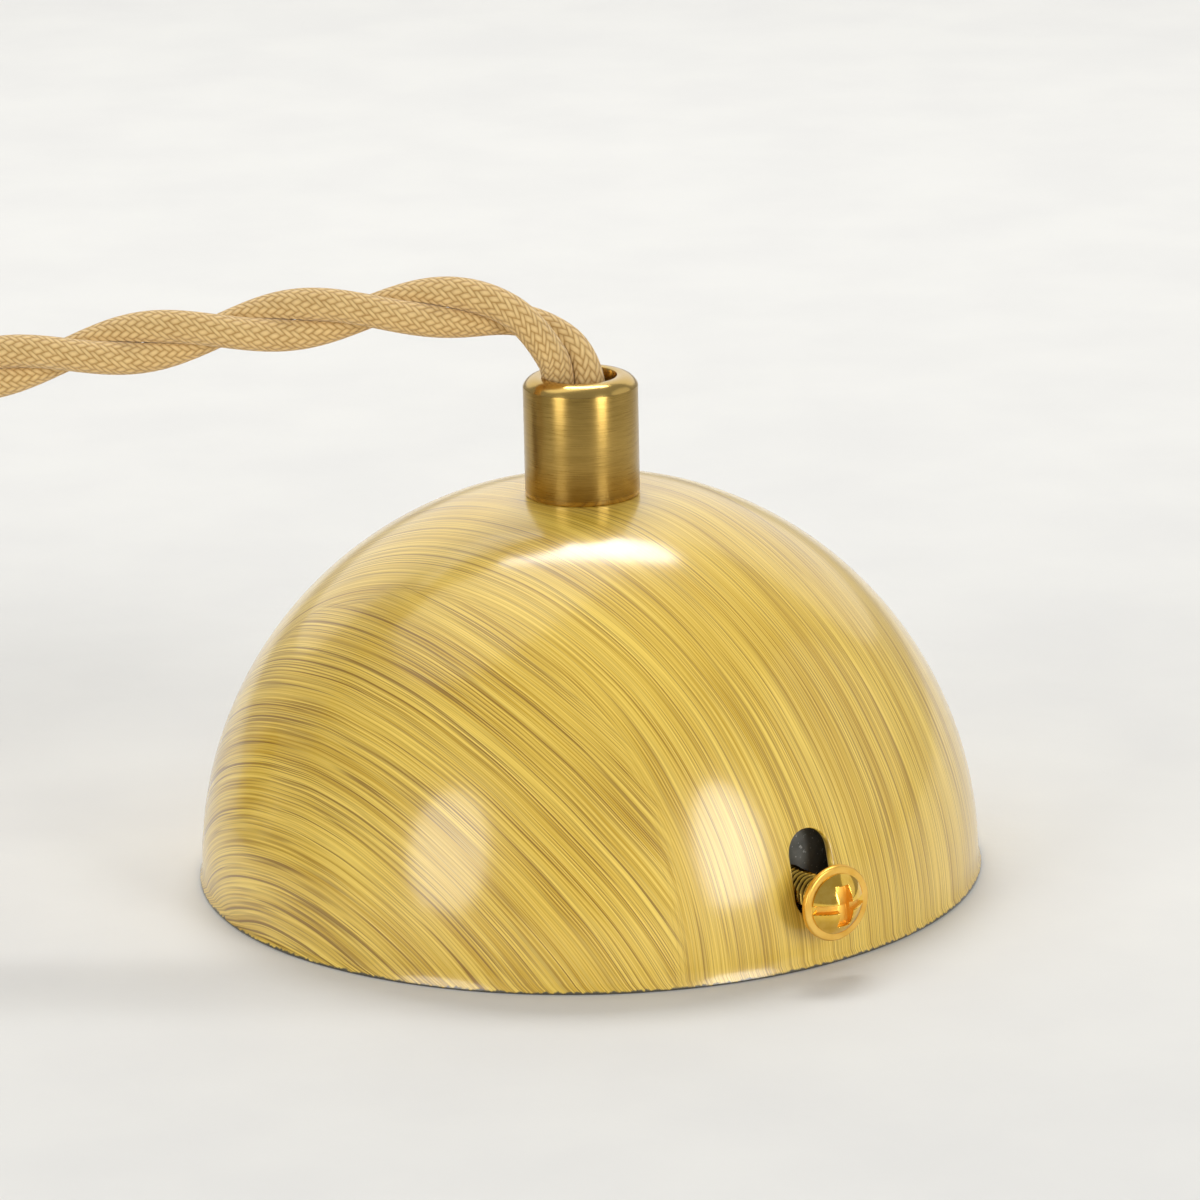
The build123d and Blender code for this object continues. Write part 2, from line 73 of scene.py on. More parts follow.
class Wire:
    """One output in a node tree. Arithmetic between wires and numbers adds Math nodes."""

    def __init__(self, tree, socket=None):
        self.tree = tree
        self.socket = socket

    def node(self, kind, inputs=(), output=0, **settings):
        """A new node: its settings first, then the values or wires of its inputs, by name or number."""
        made = self.tree.nodes.new(kind)
        for name, value in settings.items():
            setattr(made, name, value)
        for key, value in dict(inputs).items():
            if isinstance(value, Wire):
                self.tree.links.new(value.socket, made.inputs[key])
            else:
                made.inputs[key].default_value = value
        return Wire(self.tree, made.outputs[output])

    def other(self, output):
        """Another output of the node that this wire leaves."""
        return Wire(self.tree, self.socket.node.outputs[output])

    def maths(self, operation, *terms):
        """A Math node in this wire's tree, on wires or numbers."""
        return self.node("ShaderNodeMath", dict(enumerate(terms)), operation=operation)

    def __add__(self, more):
        return self.maths("ADD", self, more)

    def __sub__(self, less):
        return self.maths("SUBTRACT", self, less)

    def __rsub__(self, whole):
        return self.maths("SUBTRACT", whole, self)

    def __mul__(self, times):
        return self.maths("MULTIPLY", self, times)

    def __truediv__(self, parts):
        return self.maths("DIVIDE", self, parts)

    def __pow__(self, power):
        return self.maths("POWER", self, power)

    def __abs__(self):
        return self.maths("ABSOLUTE", self)

    __radd__ = __add__
    __rmul__ = __mul__

    def ease(self, low, high):
        """0 below low, 1 above high, smooth in between; the other way round where high is less."""
        span = {"Value": self, "From Min": low, "From Max": high}
        return self.node("ShaderNodeMapRange", span, interpolation_type="SMOOTHSTEP")

    def tint(self, low, high):
        """Colour low where this value is 0, high where it is 1."""
        return self.node("ShaderNodeMix", {0: self, 6: low, 7: high}, output=2, data_type="RGBA")

    def noise(self, x, y, z, detail=2.0):
        """Smooth noise at three coordinates."""
        place = self.node("ShaderNodeCombineXYZ", {0: x, 1: y, 2: z})
        return self.node("ShaderNodeTexNoise", {"Vector": place, "Scale": 1.0, "Detail": detail})

    def feed(self, name):
        """Lead this wire into a socket of the material's surface."""
        self.tree.links.new(self.socket, self.tree.nodes["Principled BSDF"].inputs[name])

    def relief(self, strength, depth):
        """Raise the surface by this value, depth millimetres from 0 to 1."""
        bump = {"Height": self, "Strength": strength, "Distance": depth * MM}
        self.node("ShaderNodeBump", bump).feed("Normal")


def shade(red, green, blue):
    """A colour as seen on screen, 0 to 255, in the renderer's own linear values."""
    screen = [value / 255 for value in (red, green, blue)]
    return [v / 12.92 if v < 0.04 else ((v + 0.055) / 1.055) ** 2.4 for v in screen] + [1.0]


def finish(name, **constants):
    """A new material, its constants set by their names in lower case, and its three coordinates."""
    made = bpy.data.materials.new(name)
    made.use_nodes = True
    surface = made.node_tree.nodes["Principled BSDF"]
    sockets = {s.name.lower().replace(" ", "_"): s for s in surface.inputs}
    for key, value in constants.items():
        sockets[key].default_value = value
    place = Wire(made.node_tree).node("ShaderNodeTexCoord", output="Object")
    x = place.node("ShaderNodeSeparateXYZ", {0: place})
    return made, x, x.other(1), x.other(2)


def show(name, mesh, *materials):
    """A new object at the origin for a mesh in metres, smooth except across its sharp edges."""
    piece = bpy.data.objects.new(name, mesh)
    bpy.context.scene.collection.objects.link(piece)
    for material in materials:
        mesh.materials.append(material)
    mesh.shade_smooth()
    mesh.set_sharp_from_angle(angle=math.radians(35))
    return piece


def seat(piece, body, slot, *nodes):
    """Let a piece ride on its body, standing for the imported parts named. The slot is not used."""
    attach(piece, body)
    if nodes:
        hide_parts(*nodes)
    return piece


def eased(name, node, edge, material):
    """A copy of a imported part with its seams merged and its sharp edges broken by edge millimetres."""
    source = frame["nodes"][node].data
    mesh = bpy.data.meshes.new(name)
    mesh.from_pydata([v.co for v in source.vertices], [], [p.vertices for p in source.polygons])
    work = bmesh.new()
    work.from_mesh(mesh)
    bmesh.ops.remove_doubles(work, verts=work.verts, dist=0.002 * MM)
    flat = math.radians(0.2)
    bmesh.ops.dissolve_limit(work, angle_limit=flat, verts=work.verts, edges=work.edges)
    sharp = [e for e in work.edges if e.is_manifold and e.calc_face_angle(0) > math.radians(40)]
    bmesh.ops.bevel(
        work, geom=sharp, offset=edge * MM, segments=2, profile=0.5, affect="EDGES", clamp_overlap=True
    )
    bmesh.ops.recalc_face_normals(work, faces=work.faces)
    work.to_mesh(mesh)
    work.free()
    return show(name, mesh, material)


black_steel, x, y, z = finish("black_steel", metallic=0.25, specular_ior_level=0.6)
mill = x.noise(x * 350, y * 350, z * 350, 4.0)
specks = x.noise(x * 3000, y * 3000, z * 3000, 1.0).ease(0.66, 0.72)
blackened = mill.ease(0.3, 0.7).tint(shade(104, 106, 101), shade(148, 149, 142))
specks.tint(blackened, shade(205, 205, 200)).feed("Base Color")
(0.34 + mill * 0.2).feed("Roughness")
mill.relief(0.4, 0.08)
strap = eased("strap_bracket", "mounting_bracket", 0.25, black_steel)
seat(strap, "bracket", "black_steel", "mounting_bracket")


# Terminal block and earth terminal. A white moulded block carries two brass clamp tubes, each with two
# slotted screws, on one screw through its middle; the gold earth screw bites on a washer beside it.
def moulded(name, colour, shadow, roughness):
    """A moulded plastic with a faint orange-peel skin and slightly uneven tone."""
    made, x, y, z = finish(name, specular_ior_level=0.4)
    skin = x.noise(x * 2500, y * 2500, z * 2500, 3.0)
    tone = x.noise(x * 120, y * 120, z * 120)
    tone.ease(0.25, 0.75).tint(shadow, colour).feed("Base Color")
    (skin * 0.12 + (roughness - 0.06)).feed("Roughness")
    skin.relief(0.25, 0.03)
    return made


def plated(name, dark, light, roughness, scratch=0.02):
    """A plated or bare metal: clouded in colour and shine, with a fine tooth."""
    made, x, y, z = finish(name, metallic=1.0)
    clouds = x.noise(x * 400, y * 400, z * 400, 4.0)
    clouds.ease(0.3, 0.7).tint(dark, light).feed("Base Color")
    grain = x.noise(x * 9000, y * 9000, z * 9000)
    (roughness * 0.75 + clouds * roughness * 0.3 + grain * roughness * 0.2).feed("Roughness")
    grain.relief(0.5, scratch)
    return made


def node_tree(name, **sizes):
    """A new geometry tree, and wires by name for its geometry, its material and its sizes."""
    tree = bpy.data.node_groups.new(name, "GeometryNodeTree")
    tree.interface.new_socket("Geometry", in_out="INPUT", socket_type="NodeSocketGeometry")
    tree.interface.new_socket("Material", in_out="INPUT", socket_type="NodeSocketMaterial")
    for size, kind in sizes.items():
        tree.interface.new_socket(size, in_out="INPUT", socket_type=f"NodeSocket{kind}")
    tree.interface.new_socket("Geometry", in_out="OUTPUT", socket_type="NodeSocketGeometry")
    inside = tree.nodes.new("NodeGroupInput")
    return tree, {socket.name: Wire(tree, socket) for socket in inside.outputs if socket.name}


def close_tree(tree, sizes, shape):
    """End a geometry tree: merged, real geometry with its material."""
    merged = shape.node("GeometryNodeMergeByDistance", {"Geometry": shape, "Distance": 0.001 * MM})
    real = shape.node("GeometryNodeRealizeInstances", {"Geometry": merged})
    painted = shape.node("GeometryNodeSetMaterial", {"Geometry": real, "Material": sizes["Material"]})
    tree.links.new(painted.socket, tree.nodes.new("NodeGroupOutput").inputs[0])


def settled(seed):
    """The plain mesh that an object's curve or geometry tree comes to; the object itself goes."""
    bpy.context.scene.collection.objects.link(seed)
    worked_out = seed.evaluated_get(bpy.context.evaluated_depsgraph_get())
    mesh = bpy.data.meshes.new_from_object(worked_out)
    bpy.data.objects.remove(seed)
    return mesh


def grown(name, source, tree, material, place=Matrix(), turn_out=True, **sizes):
    """Run a geometry tree on a curve or mesh, and keep the result as a plain mesh in its place.

    Its faces are turned outwards, unless the tree already makes them so.
    """
    seed = bpy.data.objects.new(name + "_seed", source)
    modifier = seed.modifiers.new("build", "NODES")
    modifier.node_group = tree
    names = {i.name: i.identifier for i in tree.interface.items_tree if i.in_out == "INPUT"}
    for size, value in {"Material": material, **sizes}.items():
        modifier[names[size]] = value
    mesh = settled(seed)
    if turn_out:
        work = bmesh.new()
        work.from_mesh(mesh)
        bmesh.ops.recalc_face_normals(work, faces=work.faces)
        work.to_mesh(mesh)
        work.free()
    mesh.transform(place)
    return show(name, mesh)


screw_sizes = ("Shank", "Length", "Pitch", "Thread", "Head", "Rise", "Crown", "Slot", "SlotDepth")
arm_sizes = ("Arm", "ArmLength", "ArmDepth")
screw_tree, size = node_tree(
    "slotted_screw", Sides="Int", Rings="Int", **dict.fromkeys(screw_sizes + arm_sizes, "Float")
)
start = size["Geometry"]
spot = start.node("GeometryNodeInputPosition")
spot_x = start.node("ShaderNodeSeparateXYZ", {0: spot})
spot_y, spot_z = spot_x.other(1), spot_x.other(2)
reach = (spot_x * spot_x + spot_y * spot_y) ** 0.5
turn = start.maths("ARCTAN2", spot_y, spot_x) / (2 * math.pi)
wave = start.maths("PINGPONG", spot_z / size["Pitch"] - turn, 0.5) * 2
shrink = 1 - wave * size["Thread"] / size["Shank"]
rows_per_pitch = 8
shank = start.node(
    "GeometryNodeMeshCylinder",
    {"Vertices": size["Sides"], "Side Segments": size["Length"] / size["Pitch"] * rows_per_pitch,
     "Radius": size["Shank"], "Depth": size["Length"]},
)
# The thread's roots are marked for the material, which paints shade into them.
shank = start.node(
    "GeometryNodeStoreNamedAttribute",
    {"Geometry": shank, "Name": "shaded_thread_root", "Value": wave.ease(0.1, 0.7)},
)
cut = start.node(
    "ShaderNodeCombineXYZ",
    {0: spot_x * shrink, 1: spot_y * shrink, 2: spot_z - size["Length"] / 2},
)
shank = start.node("GeometryNodeSetPosition", {"Geometry": shank, "Position": cut})
soft, blank_thick = 0.13 * MM, 0.01 * MM
in_slot = abs(spot_y).ease(size["Slot"] / 2 + soft, size["Slot"] / 2 - soft) * size["SlotDepth"]
taper = 1 - abs(spot_y) / size["ArmLength"]
in_arm = abs(spot_x).ease(size["Arm"] / 2 + soft, size["Arm"] / 2 - soft) * taper * size["ArmDepth"]
in_arm = in_arm * abs(spot_y).ease(size["ArmLength"] / 2 + soft, size["ArmLength"] / 2 - soft)
crown = size["Rise"] - size["Crown"] * (reach / size["Head"]) ** 2
recess = start.maths("MAXIMUM", in_slot, in_arm)
on_top = spot_z.maths("GREATER_THAN", spot_z, 0.0)
head = start.node(
    "GeometryNodeMeshCylinder",
    {"Vertices": size["Sides"], "Fill Segments": size["Rings"],
     "Radius": size["Head"], "Depth": blank_thick},
    fill_type="TRIANGLE_FAN",
)
sunk = recess.ease(0.06 * MM, 0.4 * MM) * on_top
head = start.node(
    "GeometryNodeStoreNamedAttribute", {"Geometry": head, "Name": "groove", "Value": sunk}
)
lift = start.node("ShaderNodeCombineXYZ", {0: spot_x, 1: spot_y, 2: (crown - recess) * on_top})
head = start.node("GeometryNodeSetPosition", {"Geometry": head, "Position": lift})
whole = start.node("GeometryNodeJoinGeometry", {"Geometry": shank})
start.tree.links.new(head.socket, whole.socket.node.inputs[0])
spread = start.node("GeometryNodeInstanceOnPoints", {"Points": size["Geometry"], "Instance": whole})
close_tree(screw_tree, size, start.node("GeometryNodeRealizeInstances", {"Geometry": spread}))


def screws(name, places, material, place, sides, rings, **sizes):
    """Like screws standing upright at several places, their heads' seats at each place."""
    spots = bpy.data.meshes.new(name)
    spots.from_pydata([Vector(p) * MM for p in places], [], [])
    metres = {key: value * MM for key, value in sizes.items()}
    metres.update(Sides=sides, Rings=rings)
    return grown(name, spots, screw_tree, material, place, turn_out=False, **metres)


screw_bearing = math.radians(-56)
to_bearing = Matrix.Rotation(screw_bearing, 4, "Z")
strap_top, block_middle, pole, earth_x = 1.8, -11.0, 5.0, 17.0
wire_rise, block_height, washer_thick = 5.0, 12.0, 0.8
driver = {"Slot": 0.6, "SlotDepth": 0.8, "Arm": 0.6, "ArmLength": 1.0, "ArmDepth": 0.0, "Crown": 0.1}
zinc_steel = plated("zinc_steel", shade(150, 152, 156), shade(205, 207, 210), 0.3)
gold_zinc, x, y, z = finish("gold_zinc", metallic=1.0)
groove = x.node("ShaderNodeAttribute", output="Fac", attribute_name="groove")
plate = x.noise(x * 900, y * 900, z * 900, 3.0)
bright = plate.ease(0.3, 0.7).tint(shade(238, 192, 78), shade(250, 208, 100))
# The thread's roots are painted dark brown as painted shade, and made rougher.
shaded_thread_root = x.node("ShaderNodeAttribute", output="Fac", attribute_name="shaded_thread_root")
shaded_thread_root.tint(groove.tint(bright, shade(242, 190, 88)), shade(62, 40, 10)).feed("Base Color")
(0.06 + plate * 0.08 + groove * 0.36 + shaded_thread_root * 0.3).feed("Roughness")
gold_matt = plated("gold_zinc_matt", shade(234, 180, 76), shade(248, 202, 104), 0.3, scratch=0.01)
contact_brass = plated("contact_brass", shade(176, 136, 66), shade(214, 176, 102), 0.3)
block_plastic = moulded("block_plastic", shade(236, 233, 224), shade(222, 218, 206), 0.45)
block = eased("terminal_body", "terminal_block", 0.2, block_plastic)
seat(block, "bracket", "block_plastic", "terminal_block")
clamps = eased("clamp_tubes", "terminal_clamps", 0.1, contact_brass)
seat(clamps, "bracket", "contact_brass", "terminal_clamps")
wire_radius, grub_length, grub_head, grub_gap = 0.9, 4.6, 0.9, 4
grub_seat = strap_top + wire_rise + wire_radius + grub_length - grub_head
grub_ways = (-grub_gap, grub_gap)
grubs = [(block_middle + way, across, grub_seat) for way in grub_ways for across in (-pole, pole)]
clamp_screws = screws(
    "clamp_screws", grubs, zinc_steel, to_bearing, 32, 12,
    Shank=1.25, Length=3.7, Pitch=0.45, Thread=0.12, Head=1.25, Rise=grub_head, **driver,
)
seat(clamp_screws, "bracket", "zinc_steel", "terminal_screws")
block_recess = 3.0
block_seat = strap_top + block_height - block_recess
centre_screw = screws(
    "block_fixing_screw", [(block_middle, 0, block_seat)], zinc_steel, to_bearing, 40, 14,
    Shank=1.5, Length=10.3, Pitch=0.5, Thread=0.2, Head=2.7, Rise=2.0, **driver,
)
seat(centre_screw, "bracket", "zinc_steel", "block_screw")
earth_seat = strap_top + washer_thick
earth = screws(
    "earth_terminal_screw", [(earth_x, 0, earth_seat)], gold_zinc, to_bearing, 40, 14,
    Shank=2.0, Length=2.2, Pitch=0.7, Thread=0.25, Head=3.6, Rise=2.4, **driver,
)
seat(earth, "bracket", "gold_zinc", "earth_screw")
earth_ring = eased("earth_clamp_washer", "earth_washer", 0.12, gold_matt)
seat(earth_ring, "bracket", "gold_zinc", "earth_washer")

# Canopy. A pressed steel half sphere, brushed over in cream and brown strokes like wood grain and
# lacquered to a gloss. It has a flat land with the cord hole on top and a slot each side for the screws.
dome_radius, skirt, wall, rim_radius = 44.6, 0.9, 1.0, 45.0
land_radius, land_blend, cord_hole = 7.2, 25.0, 5.15
blend_rise = math.sqrt((dome_radius - land_blend) ** 2 - land_radius**2)
land_z = skirt + blend_rise + land_blend
blend_from = math.atan2(blend_rise, land_radius)
slot_half_width, slot_low, slot_high, slot_edge = 2.65, 8.1, 12.5, 0.3
slot_middle = (slot_low + slot_high) / 2
row_turn = math.radians(1.5)
columns = round(2 * math.pi / row_turn)
slot_columns, slot_rows = 7, (1, 16)


def dome_line(inset):
    """Radius and height of the dome's wall at each row, inset millimetres inside its outer face."""
    radius = dome_radius - inset
    rise = [i * row_turn for i in range(int(blend_from / row_turn) + 1)]
    rows = [(radius * math.cos(a), skirt + radius * math.sin(a)) for a in rise]
    for a in np.linspace(blend_from, math.pi / 2, 10):
        bend = land_blend - inset
        rows.append((land_radius + bend * math.cos(a), skirt + blend_rise + bend * math.sin(a)))
    return rows


hole_round = 0.25
outer = dome_line(0)
inner = dome_line(wall)
rim_in = rim_radius - wall
foot = [(rim_in, 0.25), (rim_in + 0.2, 0.0)]
foot += [(rim_radius - 0.3, 0.0), (rim_radius - 0.12, 0.07), (rim_radius - 0.09, 0.22)]
lip = [(cord_hole + hole_round, land_z), (cord_hole, land_z - hole_round), (cord_hole, land_z - wall)]
outline = foot + outer + lip + inner[::-1]
first_outer, first_inner = len(foot), len(outline) - 1
turns = screw_bearing + row_turn * np.arange(columns)
grid = np.array([[(r * math.cos(t), r * math.sin(t), z) for t in turns] for r, z in outline])
points = [tuple(p) for p in grid.reshape(-1, 3)]
inside_from = first_outer + len(outer) + len(lip)
faces, inside_faces = [], []


def on_grid(row, column):
    """The number of the point at a row and column of the wall, counted on round the ends."""
    return row % len(outline) * columns + column % columns


def in_slot_patch(row, column):
    """Whether a square of the outer or inner wall belongs to a slot's own patch."""
    beside = (column + slot_columns) % (columns // 2) < 2 * slot_columns
    rows_up = (row - first_outer, first_inner - row - 1)
    return beside and any(slot_rows[0] <= up < slot_rows[1] for up in rows_up)


for row in range(len(outline)):
    for column in range(columns):
        if not in_slot_patch(row, column):
            corners = ((row, column), (row, column + 1), (row + 1, column + 1), (row + 1, column))
            faces.append([on_grid(*corner) for corner in corners])
            inside_faces.append(row >= inside_from - 1)


def slot_reach(y, z):
    """How far a place on the slot's face lies outside the oblong's edge."""
    return math.hypot(y, z - min(max(z, slot_low), slot_high)) - slot_half_width


def slot_ring(directions, beyond):
    """The oblong's outline, beyond millimetres outside its edge, along each direction from its middle."""
    ring = []
    for y, z in directions:
        near, far = 0.0, 12.0
        for _ in range(40):
            half = (near + far) / 2
            if slot_reach(y * half, slot_middle + z * half) > beyond:
                far = half
            else:
                near = half
        ring.append((y * near, slot_middle + z * near))
    return ring


def add_ring(ring, radius, sign):
    """New points for a ring round a slot, on a sphere of that radius, on the front or rear side."""
    first = len(points)
    for y, z in ring:
        out = math.sqrt(radius**2 - (z - skirt) ** 2 - y**2)
        place = to_bearing @ Vector((sign * out, sign * y, z))
        points.append(tuple(place))
    return list(range(first, len(points)))


def bridge(one, two, inside):
    """Squares between two rings of points, in the inside's finish or the outside's."""
    for i in range(len(one)):
        j = (i + 1) % len(one)
        faces.append([one[i], one[j], two[j], two[i]])
        inside_faces.append(inside)


for sign, middle_column in ((1, 0), (-1, columns // 2)):
    edges = []
    for side, radius in ((1, dome_radius), (-1, dome_radius - wall)):
        low, high = slot_rows
        span = range(-slot_columns, slot_columns + 1)
        loop = [(low, c) for c in span] + [(r, slot_columns) for r in range(low + 1, high + 1)]
        loop += [(high, c) for c in span[-2::-1]]
        loop += [(r, -slot_columns) for r in range(high - 1, low, -1)]
        rows = [first_outer + r if side > 0 else first_inner - r for r, _ in loop]
        border = [on_grid(row, middle_column + c) for row, (_, c) in zip(rows, loop)]
        spots = [to_bearing.inverted() @ Vector(points[i]) for i in border]
        flat = [(sign * p.y, p.z) for p in spots]
        aims = [Vector((y, z - slot_middle)).normalized() for y, z in flat]
        lipped = slot_ring(aims, slot_edge)
        last = border
        for share in (0.4, 0.7, 0.88, 1.0):
            ring = [(a + (c - a) * share, b + (d - b) * share) for (a, b), (c, d) in zip(flat, lipped)]
            ring = add_ring(ring, radius, sign)
            bridge(last, ring, side < 0)
            last = ring
        for roll in (0.35, 0.7, 1.05, math.pi / 2):
            ring = slot_ring(aims, slot_edge * (1 - math.sin(roll)))
            ring = add_ring(ring, radius - side * slot_edge * (1 - math.cos(roll)), sign)
            bridge(last, ring, side < 0)
            last = ring
        edges.append(last)
    bridge(edges[0], edges[1], False)

canopy_mesh = bpy.data.meshes.new("canopy_dome")
canopy_mesh.from_pydata([Vector(p) * MM for p in points], [], faces)
canopy_mesh.polygons.foreach_set("material_index", [int(flag) for flag in inside_faces])
work = bmesh.new()
work.from_mesh(canopy_mesh)
unused = [v for v in work.verts if not v.link_faces]
bmesh.ops.delete(work, geom=unused, context="VERTS")
bmesh.ops.recalc_face_normals(work, faces=work.faces)
work.to_mesh(canopy_mesh)
work.free()

grain_paint, x, y, z = finish(
    "wood_grain_paint", coat_weight=1.0, coat_roughness=0.16, coat_ior=1.5, specular_ior_level=0.3
)
# The strokes on the back are those of the front, half a turn round.
wander = x.noise(x * 120, y * 120, z * 120) - 0.5
depth = y + wander * 6 * MM
behind = depth.maths("GREATER_THAN", depth, 11 * MM)
facing = 1 - behind * 2
x, y, z = x * facing, y * facing, z - skirt * MM


def along(axis):
    """How far each place lies along an axis through the dome's centre."""
    return x * axis[0] + y * axis[1] + z * axis[2]


front_top = Vector((0.3, -0.6, 0.75))


def strokes(pole):
    """Brushed lines that run round a pole: their tone, from 0 to 1, and their dark streaks."""
    axis = Vector(pole).normalized()
    side = front_top - axis * axis.dot(front_top)
    side.normalize()
    swing = x.maths("ARCTAN2", along(axis.cross(side)), along(side)) * dome_radius * MM
    across = along(axis) + (x.noise(x * 35, y * 35, z * 35) - 0.5) * 1.0 * MM
    fine = x.noise(swing * 30, across * 6000, 0.0, 1.0)
    close = x.noise(swing * 36, across * 7000, 4.0, 0.0)
    loose = x.noise(swing * 22, across * 4000, 8.0, 0.0)
    band = x.noise(swing * 10, across * 420, 12.0, 2.0)
    pressed = x.noise(swing * 40, across * 700, 16.0, 1.0)
    broken = x.noise(swing * 36, across * 1500, 20.0, 0.0)
    dark = close.ease(0.5, 0.6) * pressed.ease(0.2, 0.72) * 0.8
    dark = dark + loose.ease(0.6, 0.66) * broken.ease(0.38, 0.6)
    return fine * 0.68 + band * 0.32, x.maths("MINIMUM", dark, 1.0)


# Two sweeps of the brush meet in a wandering seam left of the slot.
left_tone, left_dark = strokes((-0.71, -0.54, -0.452))
right_tone, right_dark = strokes((-0.665, -0.743, -0.075))
seam_way, seam_offset = (0.646, 0.761, -0.054), 27.05
seam = along(seam_way) + seam_offset * MM + wander * 5 * MM
lapped = seam.ease(-1.2 * MM, 1.2 * MM)
tone = right_tone * lapped + left_tone * (1 - lapped)
dark = right_dark * lapped * 0.75 + left_dark * (1 - lapped)
blotch = x.noise(x * 45, y * 45, z * 45)
paint = (tone + blotch * 0.14 - 0.07).ease(0.28, 0.7)
light = paint.tint(shade(192, 152, 34), shade(240, 208, 96))
strokes_seen = (dark * 0.8).tint(light, shade(122, 82, 6))
# The pressed edge at the rim is painted dark, partly as its bare metal and partly as painted contact
# shade where it meets the table, and the paint ends ragged above it.
bare_edge_and_contact_shade = (z + (x.noise(x * 1500, y * 1500, z * 300) - 0.5) * 0.7 * MM).ease(-0.5 * MM, -0.7 * MM)
bare_edge_and_contact_shade.tint(strokes_seen, shade(74, 70, 56)).feed("Base Color")
(0.36 + tone * 0.12).feed("Roughness")
(tone - dark * 0.3).relief(0.35, 0.06)
primer = moulded("canopy_inside", shade(206, 178, 110), shade(186, 158, 92), 0.5)
canopy = show("canopy_dome", canopy_mesh, grain_paint, primer)
seat(canopy, "canopy", "wood_grain_paint", "canopy_shell")


# Cord grip. A hollow threaded nipple goes through the canopy's land, held by a lock washer and a hexagon
# nut; a split nylon collet round the cord is pinched by the turned brass cap that screws over the nipple.
lathe_tree, size = node_tree("turned_piece", Segments="Int")
start = size["Geometry"]
circle = {"Resolution": size["Segments"], "Radius": 1.0}
ring_path = start.node("GeometryNodeCurvePrimitiveCircle", circle)
ring_path = start.node("GeometryNodeSetCurveNormal", {"Curve": ring_path}, mode="Z_UP")
swept = start.node("GeometryNodeCurveToMesh", {"Curve": ring_path, "Profile Curve": start})
close_tree(lathe_tree, size, swept)


def turned(name, outline, material, place, segments):
    """A piece turned on a lathe about Z from its outline of radius and height."""
    curve = bpy.data.curves.new(name, "CURVE")
    curve.dimensions = "3D"
    line = curve.splines.new("POLY")
    line.points.add(len(outline) - 1)
    for point, (radius, height) in zip(line.points, outline):
        point.co = (radius * MM - 1.0, -height * MM, 0, 1)
    line.use_cyclic_u = True
    return grown(name, curve, lathe_tree, material, place, Segments=segments)


def rounded(*corners):
    """An outline whose corners, given as radius, height and rounding, end in short arcs."""
    outline = []
    for i, (radius, height, round_by) in enumerate(corners):
        here = Vector((radius, height))
        back = (Vector(corners[i - 1][:2]) - here).normalized()
        ahead = (Vector(corners[(i + 1) % len(corners)][:2]) - here).normalized()
        half = back.angle(ahead) / 2
        for share in (0, 0.25, 0.5, 0.75, 1) if round_by else (0.5,):
            swing = (share - 0.5) * (math.pi - 2 * half)
            inward = (back + ahead).normalized()
            centre = here + inward * (round_by / math.sin(half))
            lean = (ahead - back).normalized()
            arc = lean * math.sin(swing) - inward * math.cos(swing)
            outline.append(tuple(centre + round_by * arc))
    return outline


def threaded(radius, low, high, pitch, depth):
    """Radius and height of a cut thread's crests and roots, from low to high."""
    steps = int((high - low) / pitch * 2)
    return [(radius - depth * (i % 2), low + i * pitch / 2) for i in range(steps + 1)]


on_canopy = Matrix.Translation((0, 0, land_z * MM))
satin_brass, x, y, z = finish("satin_brass", metallic=1.0, anisotropic=0.7, anisotropic_rotation=0.25)
lathe_marks = x.noise(x * 400, y * 400, z * 17000, 2.0)
smear = x.noise(x * 160, y * 160, z * 500, 2.0)
marked = (lathe_marks * 0.75 + smear * 0.25).ease(0.32, 0.68)
brass = marked.tint(shade(156, 127, 65), shade(178, 147, 80))
# The cap is burnished at its rounded top edge and at its foot on the land: smoother there, and painted
# lighter there as a painted highlight.
land = land_z * MM
top_edge = z.ease(land + 12.5 * MM, land + 12.7 * MM)
foot_edge = z.ease(land + 0.7 * MM, land + 0.4 * MM) * z.ease(land - 0.3 * MM, land)
burnish_and_highlight = top_edge + foot_edge
((0.24 + lathe_marks * 0.1) * (1 - burnish_and_highlight * 0.3)).feed("Roughness")
burnish_and_highlight.tint(brass, shade(204, 171, 98)).feed("Base Color")
lathe_marks.relief(0.35, 0.01)
cap_radius, cap_height, cap_mouth, cap_bore = 6.5, 13.75, 4.1, 5.0
collet_seat, collet_cone = 10.45, 2.5
nipple_bore, nipple_high, nipple_low = 3.6, 5.5, -6.0


